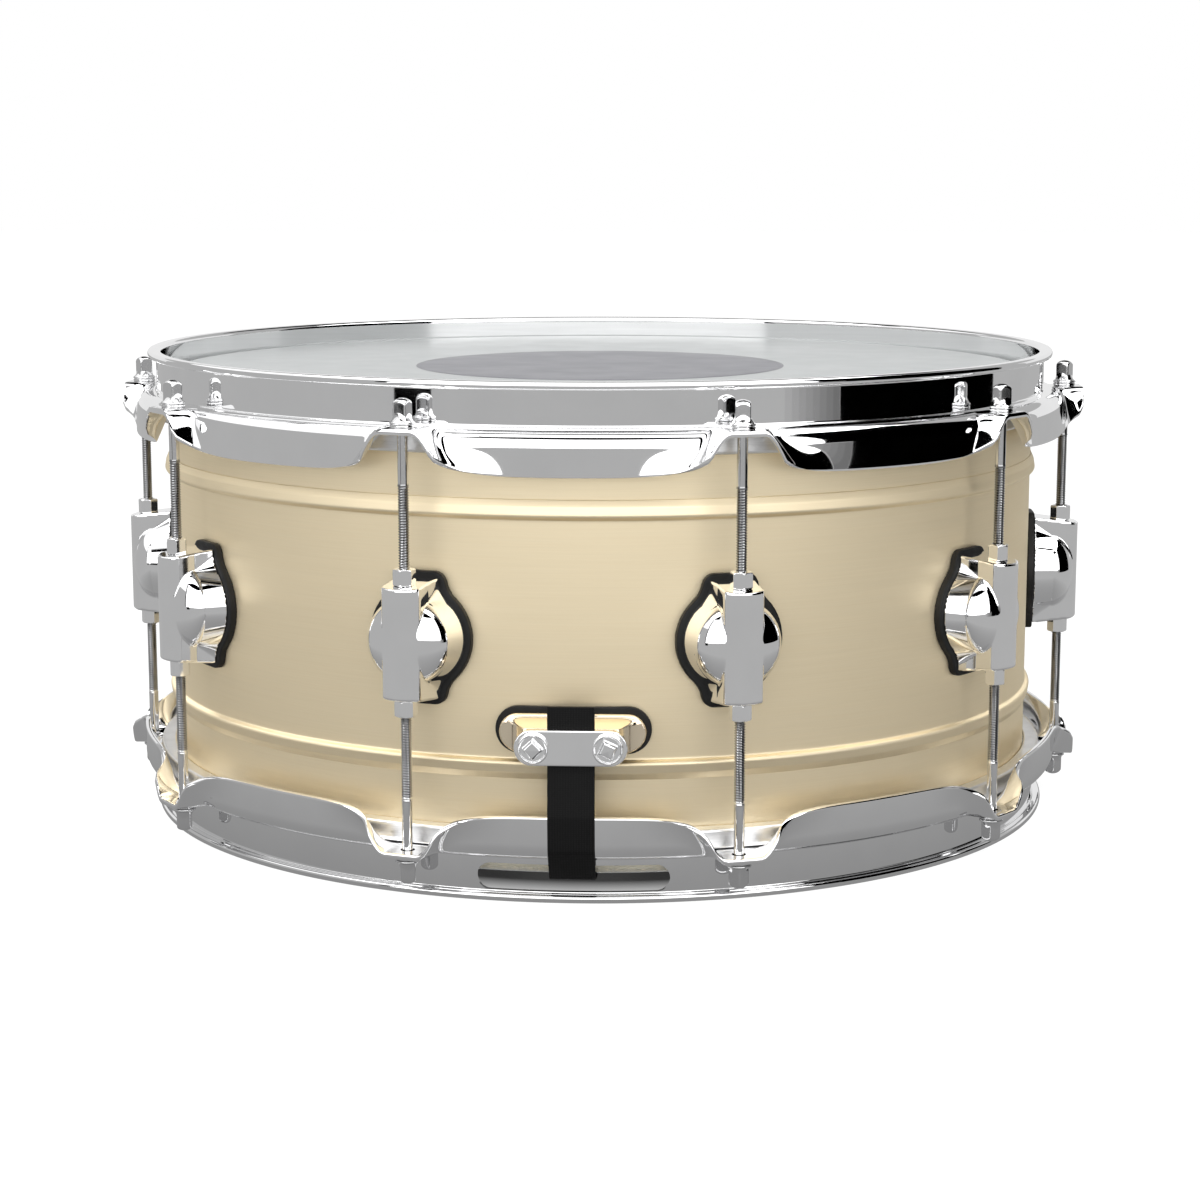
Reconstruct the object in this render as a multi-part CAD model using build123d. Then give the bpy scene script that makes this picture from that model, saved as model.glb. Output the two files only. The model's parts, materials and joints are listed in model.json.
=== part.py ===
from build123d import *
import os
from math import cos, radians, sin, sqrt

# A 14 by 6.5 inch brass snare drum, standing on its snare side rim.
# Millimetres, +Z up, origin on the drum's axis in the plane of the lower rim.
# The butt plate faces -Y and the snare strainer faces +Y.
# Small pieces are modelled on the +X radius (X outward, Y around, Z up) and then turned into place.

# Driving dimensions
DRUM_HEIGHT = 186.8
SHELL_RADIUS = 177.8
SHELL_WALL = 1.2
HEAD_RECESS = 8.7
FILM = 0.3
FILM_GAP = 0.05
LUG_COUNT = 10
LUG_STEP = 360 / LUG_COUNT
ROD_CIRCLE = 192.0
LUG_HEIGHT = 94.0

# Shell: beads and bearing edges
BEAD_HEIGHT = 2.6
BEAD_HALF_WIDTH = 4.0
BEAD_FROM_MIDDLE = 46.4
SHELL_MIDDLE = 94.3
EDGE_ROUND = 3.0
EDGE_TURN_IN = 4.2

# Hoop section, measured down from the face of its lip
HOOP_SHEET = 2.2
LIP_RADIUS = 185.6
LIP_DEPTH = 2.9
COLLAR_RADIUS = 182.3
SHOULDER_DEPTH = 16.3
SHOULDER_RADIUS = 186.3
SKIRT_RADIUS = 191.0
SKIRT_DEPTH = 33.0
EAR_RADIUS = 199.2
EAR_HALF_WIDTH = 5.9
EAR_ROOT_HALF_WIDTH = 12.0
NOTCH_HALF_WIDTH = 24.0
EAR_HOLE_RADIUS = 2.6

# Snare gates through the collar of the lower hoop
GATE_WIDTH = 69.6
GATE_LOW = 3.4
GATE_HIGH = 13.4

# Heads
DOT_RADIUS = 76.3
DOT_THICKNESS = 0.2
FLESH_HOOP_DEPTH = 18.6
FLESH_HOOP_HEIGHT = 7.4
FLESH_HOOP_RADIUS = 184.2

# Lugs
GASKET_THICKNESS = 3.0
LUG_SEAT = SHELL_RADIUS + GASKET_THICKNESS
LUG_BASE_RADIUS = 17.3
LUG_BASE_THICKNESS = 1.6
BOSS_RADIUS = 15.6
BOSS_SHOULDER = 188.0
BOSS_FRONT = 198.0
COLUMN_FRONT = 199.3
COLUMN_CORNER = 195.9
COLUMN_HALF_WIDTH = 7.5
COLUMN_HALF_HEIGHT = 20.0
COLUMN_TOE_RADIUS = 4.5
LUG_BORE_RADIUS = 3.3
LUG_SCREW_OFFSET = 11.0
NUT_ACROSS_FLATS = 7.2
NUT_STAND_OFF = 0.6
NUT_TOP = 26.6
NUT_NECK_RADIUS = 3.2
NUT_NECK_END = 12.0

# Tension rods
SHANK_RADIUS = 1.95
THREAD_RADIUS = 2.05
RUNNING_CLEARANCE = 0.05
THREAD_START = 20.4
ROD_END_FROM_LUG = 8.0
FLANGE_RADIUS = 4.6
FLANGE_THICKNESS = 0.9
WASHER_RADIUS = 4.5
WASHER_BORE = 2.25
WASHER_THICKNESS = 1.1
WASHER_GAP = 0.1
HEAD_ACROSS_FLATS = 5.4
HEAD_CONE = 2.0
HEAD_HEIGHT = 8.3

# Mounting screws, driven outwards from inside the shell
SCREW_RADIUS = 1.9
SCREW_HOLE_RADIUS = 2.3
SCREW_HEAD_RADIUS = 3.6
SCREW_HEAD_HEIGHT = 2.4
SCREW_WASHER_RADIUS = 5.0
SCREW_WASHER_FACE = 176.5
SCREW_WASHER_THICKNESS = 1.1
SOCKET_WIDTH = 3.2
SOCKET_DEPTH = 1.2

# Straps and snare wires
STRAP_WIDTH = 16.8
STRAP_THICKNESS = 0.8
STRAND_COUNT = 20
STRAND_PITCH = 2.05
STRAND_RADIUS = 0.85
STRAND_HALF_LENGTH = 148.0
STRAND_HEIGHT = 7.7
CLIP_HALF_WIDTH = 20.8
CLIP_INNER_END = 142.0
CLIP_OUTER_END = 158.0
TAIL_HEIGHT = 7.25
STRAP_SPLIT = 183.4
STRAP_SPLIT_GAP = 0.4

# Butt plate
BUTT_HEIGHT = 62.2
BUTT_GASKET = (56.0, 17.2)
BUTT_BASE = (52.4, 13.4)
BUTT_GASKET_THICKNESS = 2.0
BUTT_BASE_FACE = 183.0
BUTT_BOSS_FACE = 191.2
BUTT_BOSS = (35.0, 13.4)
BUTT_CLAMP_HEIGHT = 59.0
BUTT_CLAMP = (40.2, 12.9)
CLAMP_PLATE_THICKNESS = 2.4
CLAMP_SCREW_REACH = 9.0
CLAMP_HEAD_HEIGHT = 2.0
BUTT_CLAMP_SCREW = 13.2
BUTT_CLAMP_HEAD_RADIUS = 5.5
BUTT_SCREW_ANGLE = 7.0

# Strainer
STRAINER_HEIGHT = 82.5
STRAINER_GASKET = (52.0, 58.0)
STRAINER_BASE = (47.0, 53.0)
STRAINER_GASKET_THICKNESS = 2.0
STRAINER_BASE_FACE = 182.2
STRAINER_SCREW_OFFSET = 19.0
CHANNEL_HALF_WIDTH = 17.0
CHEEK_THICKNESS = 3.0
CHEEK_FACE = 196.5
CHEEK_LOW = 56.0
CHEEK_HIGH = 99.0
SLIDE_GAP = 0.3
BLOCK_BACK = 184.0
CARRIAGE_FRONT = 196.0
CARRIAGE_LOW = 72.0
CARRIAGE_HIGH = 86.0
CLAMP_BLOCK_FRONT = 195.1
CLAMP_BLOCK_LOW = 56.0
CLAMP_BLOCK_HIGH = 68.0
CLAMP_PLATE_HEIGHT = 62.0
CLAMP_PLATE = (33.0, 10.0)
CLAMP_SCREW_OFFSET = 12.6
CLAMP_SCREW_RADIUS = 1.6
CLAMP_HEAD_RADIUS = 3.4
PIVOT_RADIUS_OUT = 190.0
PIVOT_HEIGHT = 68.0
PIVOT_PIN_RADIUS = 2.0
PIVOT_HEAD_RADIUS = 4.0
LEVER_ARM_THICKNESS = 3.1
LEVER_EYE_RADIUS = 5.0
KNOB_RADIUS = 7.2
KNOB_LOW = 86.3
KNOB_HIGH = 96.0
KNOB_FLUTES = 24
KNOB_SCREW_RADIUS = 2.0
KNOB_SCREW_LOW = 58.5

# Air vent
VENT_ANGLE = 108.0
VENT_BORE = 5.0
VENT_TUBE = 6.2
VENT_FLANGE = 9.5
VENT_INNER_FLANGE = 8.4
VENT_LIP = 1.3

FRONT_ANGLE = 0.0
BACK_ANGLE = 180.0
BATTER_PLANE = DRUM_HEIGHT - HEAD_RECESS
SNARE_PLANE = HEAD_RECESS
OUTSIDE = 260.0

LUG_ANGLES = [LUG_STEP / 2 + LUG_STEP * k for k in range(LUG_COUNT)]


def place(shape, angle):
    """Turn a piece from the +X radius to an angle counted from the front (-Y) round towards +X."""
    return Rot(0, 0, angle - 90) * shape


def around(shape):
    return [place(shape, angle) for angle in LUG_ANGLES]


def upside_down(shape):
    return mirror(shape, about=Plane.XY.offset(DRUM_HEIGHT / 2))


def save(name, *shapes):
    solids = [solid for shape in shapes for solid in shape.solids()]
    for solid in solids:
        solid.label = name
    export_step(solids[0] if len(solids) == 1 else Compound(children=solids), f"parts/{name}.step")


def spun(points):
    """A ring of revolution from a closed section given as lines and arcs in (radius, height)."""
    return revolve(Plane.XZ * make_face(points), Axis.Z)


def tube(inner, outer, low, high):
    ring = Circle(outer) - Circle(inner)
    return Pos(0, 0, low) * extrude(ring, amount=high - low)


def outward(face, inner, outer, height=0.0):
    """Extrude a face drawn in (around, up) along the +X radius."""
    plane = Plane(origin=(inner, 0, height), x_dir=(0, 1, 0), z_dir=(1, 0, 0))
    return extrude(plane * face, amount=outer - inner)


def sideways(face, half_width):
    """Extrude a face drawn in (radius, height) both ways around the drum."""
    return extrude(Plane.XZ * face, amount=half_width, both=True)


def upright(radius, low, high, at=ROD_CIRCLE):
    return Pos(at, 0, low) * extrude(Circle(radius), amount=high - low)


def block(inner, outer, half_width, low, high):
    middle = ((inner + outer) / 2, 0, (low + high) / 2)
    return Pos(*middle) * Box(outer - inner, 2 * half_width, high - low)


def curved(face, inner, outer, height):
    """A plate of constant thickness bent to the shell, with the outline of a face."""
    layer = tube(inner, outer, height - 40, height + 40)
    return outward(face, inner - 10, outer + 10, height) & layer


# Shell

def bearing_edge(end, sign):
    """The turned-in edge, outer skin inwards: returns its two arcs and its end points."""
    bend = SHELL_RADIUS - EDGE_ROUND
    centre = end - sign * EDGE_ROUND
    slope = sqrt(0.5)
    inner_round = EDGE_ROUND - SHELL_WALL

    def on_arc(radius, angle):
        return (bend + radius * cos(radians(angle)), centre + sign * radius * sin(radians(angle)))

    outer = ThreePointArc(on_arc(EDGE_ROUND, 0), on_arc(EDGE_ROUND, 70), on_arc(EDGE_ROUND, 135))
    inner = ThreePointArc(on_arc(inner_round, 135), on_arc(inner_round, 70), on_arc(inner_round, 0))
    turn = EDGE_TURN_IN * slope
    outer_tip = outer @ 1 - Vector(turn, sign * turn)
    inner_tip = inner @ 0 - Vector(turn, sign * turn)
    flange = [Line(outer @ 1, outer_tip), Line(outer_tip, inner_tip), Line(inner_tip, inner @ 0)]
    return [outer, *flange, inner]


def bead(radius, height, half_width):
    low = (radius, height - half_width)
    high = (radius, height + half_width)
    return ThreePointArc(low, (radius + BEAD_HEIGHT, height), high)


def make_shell():
    inside = SHELL_RADIUS - SHELL_WALL
    low_edge = bearing_edge(SNARE_PLANE + FILM, -1)
    high_edge = bearing_edge(BATTER_PLANE - FILM, 1)
    beads = [SHELL_MIDDLE - BEAD_FROM_MIDDLE, SHELL_MIDDLE + BEAD_FROM_MIDDLE]
    outer = [bead(SHELL_RADIUS, height, BEAD_HALF_WIDTH) for height in beads]
    inner = [bead(inside, height, BEAD_HALF_WIDTH - SHELL_WALL / 2) for height in beads]
    walls = [
        Line(low_edge[0] @ 0, outer[0] @ 0),
        Line(outer[0] @ 1, outer[1] @ 0),
        Line(outer[1] @ 1, high_edge[0] @ 0),
        Line(low_edge[-1] @ 1, inner[0] @ 0),
        Line(inner[0] @ 1, inner[1] @ 0),
        Line(inner[1] @ 1, high_edge[-1] @ 1),
    ]
    shell = spun([*low_edge, *high_edge, *outer, *inner, *walls])

    def hole(radius, height, angle):
        return place(outward(Circle(radius), SHELL_RADIUS - 8, SHELL_RADIUS + 8, height), angle)

    holes = [hole(VENT_TUBE + FILM_GAP, LUG_HEIGHT, VENT_ANGLE)]
    for offset in (-LUG_SCREW_OFFSET, LUG_SCREW_OFFSET):
        holes += [hole(SCREW_HOLE_RADIUS, LUG_HEIGHT + offset, angle) for angle in LUG_ANGLES]
        side = 1 if offset > 0 else -1
        holes.append(hole(SCREW_HOLE_RADIUS, BUTT_HEIGHT, FRONT_ANGLE + side * BUTT_SCREW_ANGLE))
        holes.append(hole(SCREW_HOLE_RADIUS, STRAINER_HEIGHT + side * STRAINER_SCREW_OFFSET, BACK_ANGLE))
    return shell - holes


# Hoops

def make_hoop():
    """The batter side hoop: lip, collar, shoulder and flared skirt, with ten flat ears."""
    top = DRUM_HEIGHT
    inside = COLLAR_RADIUS - HOOP_SHEET
    under = SHOULDER_DEPTH + HOOP_SHEET
    lip_round = 1.1
    shoulder_round = 0.8
    section = FilletPolyline(
        (inside, top - under),
        (inside, top),
        (LIP_RADIUS, top),
        (LIP_RADIUS, top - LIP_DEPTH),
        (COLLAR_RADIUS, top - LIP_DEPTH),
        (COLLAR_RADIUS, top - SHOULDER_DEPTH),
        (SHOULDER_RADIUS, top - SHOULDER_DEPTH),
        (SKIRT_RADIUS, top - SKIRT_DEPTH),
        radius=[1.6, lip_round, lip_round, 0.5, shoulder_round, shoulder_round],
    )
    skirt_inner = SKIRT_RADIUS - 1.05 * HOOP_SHEET
    inner_corner = (SHOULDER_RADIUS - HOOP_SHEET, top - under)
    edge = top - SKIRT_DEPTH
    closing = Polyline((SKIRT_RADIUS, edge), (skirt_inner, edge), inner_corner, (inside, top - under))
    hoop = spun([section, closing])

    notch_low = -SKIRT_DEPTH - 1
    notch_curve = [
        Bezier(
            (side * EAR_ROOT_HALF_WIDTH, -under),
            (side * (EAR_ROOT_HALF_WIDTH + 5), -under - 10),
            (side * (NOTCH_HALF_WIDTH - 7), -SKIRT_DEPTH),
            (side * NOTCH_HALF_WIDTH, notch_low),
        )
        for side in (-1, 1)
    ]
    left, right = notch_curve
    notch_face = make_face([left, right, Line(left @ 0, right @ 0), Line(left @ 1, right @ 1)])
    notch = outward(notch_face, COLLAR_RADIUS + 1, OUTSIDE, top)
    hoop = hoop - around(notch)

    root = COLLAR_RADIUS + 1
    outline = FilletPolyline(
        (root, -EAR_ROOT_HALF_WIDTH),
        (SKIRT_RADIUS - 3, -EAR_ROOT_HALF_WIDTH + 2),
        (EAR_RADIUS, -EAR_HALF_WIDTH),
        (EAR_RADIUS, EAR_HALF_WIDTH),
        (SKIRT_RADIUS - 3, EAR_ROOT_HALF_WIDTH - 2),
        (root, EAR_ROOT_HALF_WIDTH),
        radius=1.5,
    )
    ear_face = make_face([outline, Line(outline @ 1, outline @ 0)])
    ear = Pos(0, 0, top - under) * extrude(ear_face, amount=HOOP_SHEET)
    hoop = hoop + around(ear)
    return hoop - around(upright(EAR_HOLE_RADIUS, top - under - 1, top - SHOULDER_DEPTH + 1))


def make_snare_side_hoop():
    gate_middle = (GATE_LOW + GATE_HIGH) / 2
    opening = SlotOverall(GATE_WIDTH, GATE_HIGH - GATE_LOW)
    gate = outward(opening, COLLAR_RADIUS - 8, COLLAR_RADIUS + 6, gate_middle)
    return upside_down(make_hoop()) - [place(gate, angle) for angle in (FRONT_ANGLE, BACK_ANGLE)]


# Heads

def make_head_film():
    """The batter film: flat over the bearing edge, then down into its flesh hoop."""
    bend = SHELL_RADIUS - EDGE_ROUND
    centre = BATTER_PLANE - FILM - EDGE_ROUND
    under = EDGE_ROUND + FILM_GAP
    over = EDGE_ROUND + FILM - FILM_GAP / 5
    tail = DRUM_HEIGHT - FLESH_HOOP_DEPTH - FLESH_HOOP_HEIGHT + 1

    def quarter(radius):
        middle = (bend + radius * cos(radians(45)), centre + radius * sin(radians(45)))
        return ThreePointArc((bend, centre + radius), middle, (bend + radius, centre))

    outer = quarter(over)
    inner = quarter(under)
    edge, inside = bend + over, bend + under
    lines = Polyline((edge, centre), (edge, tail), (inside, tail), (inside, centre))
    top, bottom = centre + over, centre + under
    flat = Polyline((bend, bottom), (0, bottom), (0, top), (bend, top))
    return spun([outer, inner, lines, flat])


def make_flesh_hoop():
    top = DRUM_HEIGHT - FLESH_HOOP_DEPTH
    inside = SHELL_RADIUS + FILM + FILM_GAP
    section = FilletPolyline(
        (inside, top),
        (FLESH_HOOP_RADIUS, top),
        (FLESH_HOOP_RADIUS, top - FLESH_HOOP_HEIGHT),
        (inside, top - FLESH_HOOP_HEIGHT),
        (inside, top),
        radius=0.8,
        close=True,
    )
    return spun([section])


# Lugs

def make_lug_casing():
    base = curved(Circle(LUG_BASE_RADIUS), LUG_SEAT, LUG_SEAT + LUG_BASE_THICKNESS, 0)
    root = LUG_SEAT - 2
    boss_lines = Polyline((BOSS_FRONT, 0), (root, 0), (root, BOSS_RADIUS), (BOSS_SHOULDER, BOSS_RADIUS))
    cap = EllipticalCenterArc((BOSS_SHOULDER, 0), BOSS_FRONT - BOSS_SHOULDER, BOSS_RADIUS, arc_size=90)
    boss = revolve(Plane.XZ * make_face([boss_lines, cap]), Axis.X)

    front = ThreePointArc(
        (COLUMN_CORNER, -COLUMN_HALF_WIDTH), (COLUMN_FRONT, 0), (COLUMN_CORNER, COLUMN_HALF_WIDTH)
    )
    sides = Polyline(front @ 1, (root, COLUMN_HALF_WIDTH), (root, -COLUMN_HALF_WIDTH), front @ 0)
    low = -COLUMN_HALF_HEIGHT
    high = COLUMN_HALF_HEIGHT
    column = Pos(0, 0, low) * extrude(make_face([front, sides]), amount=high - low)
    toe = FilletPolyline(
        (root, low), (COLUMN_FRONT, low), (COLUMN_FRONT, high), (root, high), radius=[COLUMN_TOE_RADIUS, 0.8]
    )
    column = column & sideways(make_face([toe, Line(toe @ 1, toe @ 0)]), COLUMN_HALF_WIDTH + 1)

    casing = (base + boss + column) - tube(LUG_SEAT - 10, LUG_SEAT, low - 5, high + 5)
    casing = casing - upright(LUG_BORE_RADIUS, low - 1, high + 1)
    thread = Circle(SCREW_RADIUS + RUNNING_CLEARANCE)
    for offset in (-LUG_SCREW_OFFSET, LUG_SCREW_OFFSET):
        casing = casing - outward(thread, LUG_SEAT - 5, LUG_SEAT + 6, offset)
    return Pos(0, 0, LUG_HEIGHT) * casing


def make_lug_gasket():
    outline = Circle(LUG_BASE_RADIUS + 2.5) + RectangleRounded(2 * COLUMN_HALF_WIDTH + 5.6, 48.4, 4.5)
    for offset in (-LUG_SCREW_OFFSET, LUG_SCREW_OFFSET):
        outline = outline - Pos(0, offset) * Circle(SCREW_HOLE_RADIUS)
    return curved(outline, SHELL_RADIUS, LUG_SEAT, LUG_HEIGHT)


def make_swivel_nut():
    """The upper nut of a lug: a hexagon that stands on the column and a neck inside its bore."""
    hexagon_low = COLUMN_HALF_HEIGHT + NUT_STAND_OFF
    hexagon = RegularPolygon(NUT_ACROSS_FLATS / 2, 6, major_radius=False)
    head = Pos(ROD_CIRCLE, 0, hexagon_low) * extrude(hexagon, amount=NUT_TOP - hexagon_low)
    corner_cut = 0.45
    head = chamfer(head.edges().filter_by(GeomType.LINE).filter_by(Axis.Z, reverse=True), corner_cut)
    neck = upright(NUT_NECK_RADIUS, NUT_NECK_END, hexagon_low)
    nut = head + neck - upright(THREAD_RADIUS + RUNNING_CLEARANCE, NUT_NECK_END - 1, NUT_TOP + 1)
    return Pos(0, 0, LUG_HEIGHT) * nut


def lower_nut(nut):
    return mirror(nut, about=Plane.XY.offset(LUG_HEIGHT))


def make_mounting_screw(tip, height):
    """A pan head screw that points outwards, with a square socket in its head."""
    head_face = SCREW_WASHER_FACE - SCREW_WASHER_THICKNESS
    screw = outward(Circle(SCREW_HEAD_RADIUS), head_face - SCREW_HEAD_HEIGHT, head_face, height)
    screw = screw + outward(Circle(SCREW_RADIUS), head_face, tip, height)
    socket = Rectangle(SOCKET_WIDTH, SOCKET_WIDTH)
    socket_floor = head_face - SCREW_HEAD_HEIGHT + SOCKET_DEPTH
    return screw - outward(socket, socket_floor - 2 * SOCKET_DEPTH, socket_floor, height)


def make_mounting_washer(height):
    ring = Circle(SCREW_WASHER_RADIUS) - Circle(SCREW_HOLE_RADIUS)
    return outward(ring, SCREW_WASHER_FACE - SCREW_WASHER_THICKNESS, SCREW_WASHER_FACE, height)


# Tension rods

EAR_FACE = DRUM_HEIGHT - SHOULDER_DEPTH


def make_rod():
    """An upper rod: thread, shank, flange and a square key head that tapers out of the flange."""
    flange_low = EAR_FACE + WASHER_THICKNESS + WASHER_GAP
    flange_high = flange_low + FLANGE_THICKNESS
    head_top = flange_high + HEAD_HEIGHT
    thread_top = EAR_FACE - THREAD_START
    rod = upright(THREAD_RADIUS, LUG_HEIGHT + ROD_END_FROM_LUG, thread_top)
    rod = rod + upright(SHANK_RADIUS, thread_top, flange_low)
    rod = rod + upright(FLANGE_RADIUS, flange_low, flange_high)
    standing = (Align.CENTER, Align.CENTER, Align.MIN)
    cone = Cone(FLANGE_RADIUS - 0.7, HEAD_ACROSS_FLATS / 2, HEAD_CONE, align=standing)
    rod = rod + Pos(ROD_CIRCLE, 0, flange_high) * cone
    square = Rectangle(HEAD_ACROSS_FLATS, HEAD_ACROSS_FLATS)
    key = Pos(ROD_CIRCLE, 0, flange_high) * extrude(square, amount=HEAD_HEIGHT)
    key = chamfer(key.faces().sort_by(Axis.Z)[-1].edges(), 0.7)
    key = key & upright(HEAD_ACROSS_FLATS * 0.62, flange_high, head_top)
    return rod + key


def make_rod_washer():
    return tube_at(WASHER_BORE, WASHER_RADIUS, EAR_FACE, EAR_FACE + WASHER_THICKNESS)


def tube_at(inner, outer, low, high, at=ROD_CIRCLE):
    return Pos(at, 0, 0) * tube(inner, outer, low, high)


def lower_rod(rod):
    """The same rod upside down in the lower end of its lug."""
    return upside_down(rod)


# Straps and snare wires

def ribbon(route):
    """A flat strap that follows a route of (radius, height) points, its middle on the route."""
    points = [Vector(*point) for point in route]
    runs = [(b - a).normalized() for a, b in zip(points, points[1:])]
    sides = [Vector(-run.Y, run.X) for run in runs]
    joints = [sides[0]]
    for before, after in zip(sides, sides[1:]):
        joint = (before + after).normalized()
        joints.append(joint * (1 / joint.dot(after)))
    joints.append(sides[-1])
    half = STRAP_THICKNESS / 2
    one_side = [point + joint * half for point, joint in zip(points, joints)]
    other_side = [point - joint * half for point, joint in zip(points, joints)]
    return sideways(make_face(Polyline(*one_side, *reversed(other_side), close=True)), STRAP_WIDTH / 2)


STRAINER_STRAP_TOP = 70.0
STRAP_ROUTE_END = [(193.0, 33.5), (188.0, 13.0), (STRAP_SPLIT + STRAP_SPLIT_GAP / 2, 8.0)]
BUTT_STRAP_FACE = BUTT_BOSS_FACE + STRAP_THICKNESS / 2
STRAINER_STRAP_FACE = CLAMP_BLOCK_FRONT + STRAP_THICKNESS / 2


def make_strap_tail():
    inner_end = CLIP_INNER_END + 8.4
    return ribbon([(STRAP_SPLIT - STRAP_SPLIT_GAP / 2, 7.7), (178.0, TAIL_HEIGHT), (inner_end, TAIL_HEIGHT)])


def make_strands():
    strands = []
    first = -(STRAND_COUNT - 1) / 2 * STRAND_PITCH
    for k in range(STRAND_COUNT):
        plane = Plane(origin=(first + k * STRAND_PITCH, -STRAND_HALF_LENGTH, STRAND_HEIGHT), z_dir=(0, 1, 0))
        strands.append(extrude(plane * Circle(STRAND_RADIUS), amount=2 * STRAND_HALF_LENGTH))
    return strands


def make_end_clip():
    """A folded clip: the strands lie on its lower leaf and the strap is held in its fold."""
    strand_bed = STRAND_HEIGHT - STRAND_RADIUS
    leaf = 0.95
    fold_low = TAIL_HEIGHT - STRAP_THICKNESS / 2
    fold_high = TAIL_HEIGHT + STRAP_THICKNESS / 2
    fold_start = CLIP_INNER_END + 7.2
    fold_floor = CLIP_INNER_END + 8.4
    section = Polyline(
        (CLIP_INNER_END, strand_bed - leaf),
        (CLIP_OUTER_END, strand_bed - leaf),
        (CLIP_OUTER_END, fold_low),
        (fold_floor, fold_low),
        (fold_floor, fold_high),
        (CLIP_OUTER_END, fold_high),
        (CLIP_OUTER_END, fold_high + 0.7),
        (fold_start, fold_high + 0.7),
        (fold_start, strand_bed),
        (CLIP_INNER_END, strand_bed),
        close=True,
    )
    return sideways(make_face(section), CLIP_HALF_WIDTH)


# Butt plate

def butt_screw_ways(radius, tip):
    drill = outward(Circle(radius), SHELL_RADIUS - 5, tip, BUTT_HEIGHT)
    return [Rot(0, 0, side * BUTT_SCREW_ANGLE) * drill for side in (-1, 1)]


def make_butt_gasket():
    face = SHELL_RADIUS + BUTT_GASKET_THICKNESS
    gasket = curved(SlotOverall(*BUTT_GASKET), SHELL_RADIUS, face, BUTT_HEIGHT)
    return gasket - butt_screw_ways(SCREW_HOLE_RADIUS, face + 5)


def make_butt_base():
    seat = SHELL_RADIUS + BUTT_GASKET_THICKNESS
    plate = curved(SlotOverall(*BUTT_BASE), seat, BUTT_BASE_FACE, BUTT_HEIGHT)
    boss_height = BUTT_HEIGHT - 2.5
    boss = outward(RectangleRounded(*BUTT_BOSS, 3), BUTT_BASE_FACE - 1.4, BUTT_BOSS_FACE, boss_height)
    base = plate + boss - butt_screw_ways(SCREW_RADIUS + RUNNING_CLEARANCE, BUTT_BASE_FACE - 0.8)
    for side in (-1, 1):
        thread = Pos(side * BUTT_CLAMP_SCREW, 0) * Circle(SCREW_RADIUS + RUNNING_CLEARANCE)
        base = base - outward(thread, BUTT_BOSS_FACE - 7, BUTT_BOSS_FACE + 1, BUTT_CLAMP_HEIGHT)
    return base


def make_clamp_plate(size, face, height, screw_offset, hole_radius):
    outline = SlotOverall(*size)
    for side in (-1, 1):
        outline = outline - Pos(side * screw_offset, 0) * Circle(hole_radius)
    return outward(outline, face, face + CLAMP_PLATE_THICKNESS, height)


def make_clamp_screw(around_offset, seat, radii, turn):
    """A round head screw that points inwards, with a square socket turned by its own angle."""
    face, height = seat
    radius, head_radius = radii
    centre = Pos(around_offset, 0)
    top = face + CLAMP_HEAD_HEIGHT
    screw = outward(centre * Circle(radius), face - CLAMP_SCREW_REACH, face, height)
    head = outward(centre * Circle(head_radius), face, top, height)
    head = fillet(head.edges().filter_by(GeomType.CIRCLE).sort_by(Axis.X)[-1], 1.2)
    socket = centre * Rot(0, 0, turn) * Rectangle(SOCKET_WIDTH, SOCKET_WIDTH)
    return screw + head - outward(socket, top - SOCKET_DEPTH, top + 1, height)


# Strainer

def make_strainer_gasket():
    outline = RectangleRounded(*STRAINER_GASKET, 6)
    for side in (-1, 1):
        outline = outline - Pos(0, side * STRAINER_SCREW_OFFSET) * Circle(SCREW_HOLE_RADIUS)
    return curved(outline, SHELL_RADIUS, SHELL_RADIUS + STRAINER_GASKET_THICKNESS, STRAINER_HEIGHT)


def make_strainer_housing():
    seat = SHELL_RADIUS + STRAINER_GASKET_THICKNESS
    housing = curved(RectangleRounded(*STRAINER_BASE, 5), seat, STRAINER_BASE_FACE, STRAINER_HEIGHT)
    outline = FilletPolyline(
        (STRAINER_BASE_FACE - 3, CHEEK_LOW),
        (CHEEK_FACE, CHEEK_LOW),
        (CHEEK_FACE, CHEEK_HIGH - 16),
        (CHEEK_FACE - 8, CHEEK_HIGH),
        (STRAINER_BASE_FACE - 3, CHEEK_HIGH),
        radius=[3, 3, 3],
    )
    pin_hole = Pos(PIVOT_RADIUS_OUT, PIVOT_HEIGHT) * Circle(PIVOT_PIN_RADIUS + 0.02)
    cheek_face = make_face([outline, Line(outline @ 1, outline @ 0)]) - pin_hole
    cheek = sideways(cheek_face, CHEEK_THICKNESS / 2)
    middle = CHANNEL_HALF_WIDTH + CHEEK_THICKNESS / 2
    housing = housing + [Pos(0, side * middle, 0) * cheek for side in (-1, 1)]
    for side in (-1, 1):
        thread = Circle(SCREW_RADIUS + RUNNING_CLEARANCE)
        height = STRAINER_HEIGHT + side * STRAINER_SCREW_OFFSET
        housing = housing - outward(thread, seat - 5, STRAINER_BASE_FACE + 5, height)
    return housing


def make_pivot_screws():
    """One shoulder screw in each cheek, for the lever's arms to turn on."""
    screws = []
    cheek_outside = CHANNEL_HALF_WIDTH + CHEEK_THICKNESS
    head_seat = cheek_outside + SLIDE_GAP + LEVER_ARM_THICKNESS + SLIDE_GAP
    for side in (-1, 1):
        plane = Plane(origin=(PIVOT_RADIUS_OUT, side * CHANNEL_HALF_WIDTH, PIVOT_HEIGHT), z_dir=(0, side, 0))
        shoulder = extrude(plane * Circle(PIVOT_PIN_RADIUS), amount=head_seat - CHANNEL_HALF_WIDTH)
        head = extrude(plane.offset(head_seat - CHANNEL_HALF_WIDTH) * Circle(PIVOT_HEAD_RADIUS), amount=1.8)
        screws.append(shoulder + head)
    return screws


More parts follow.
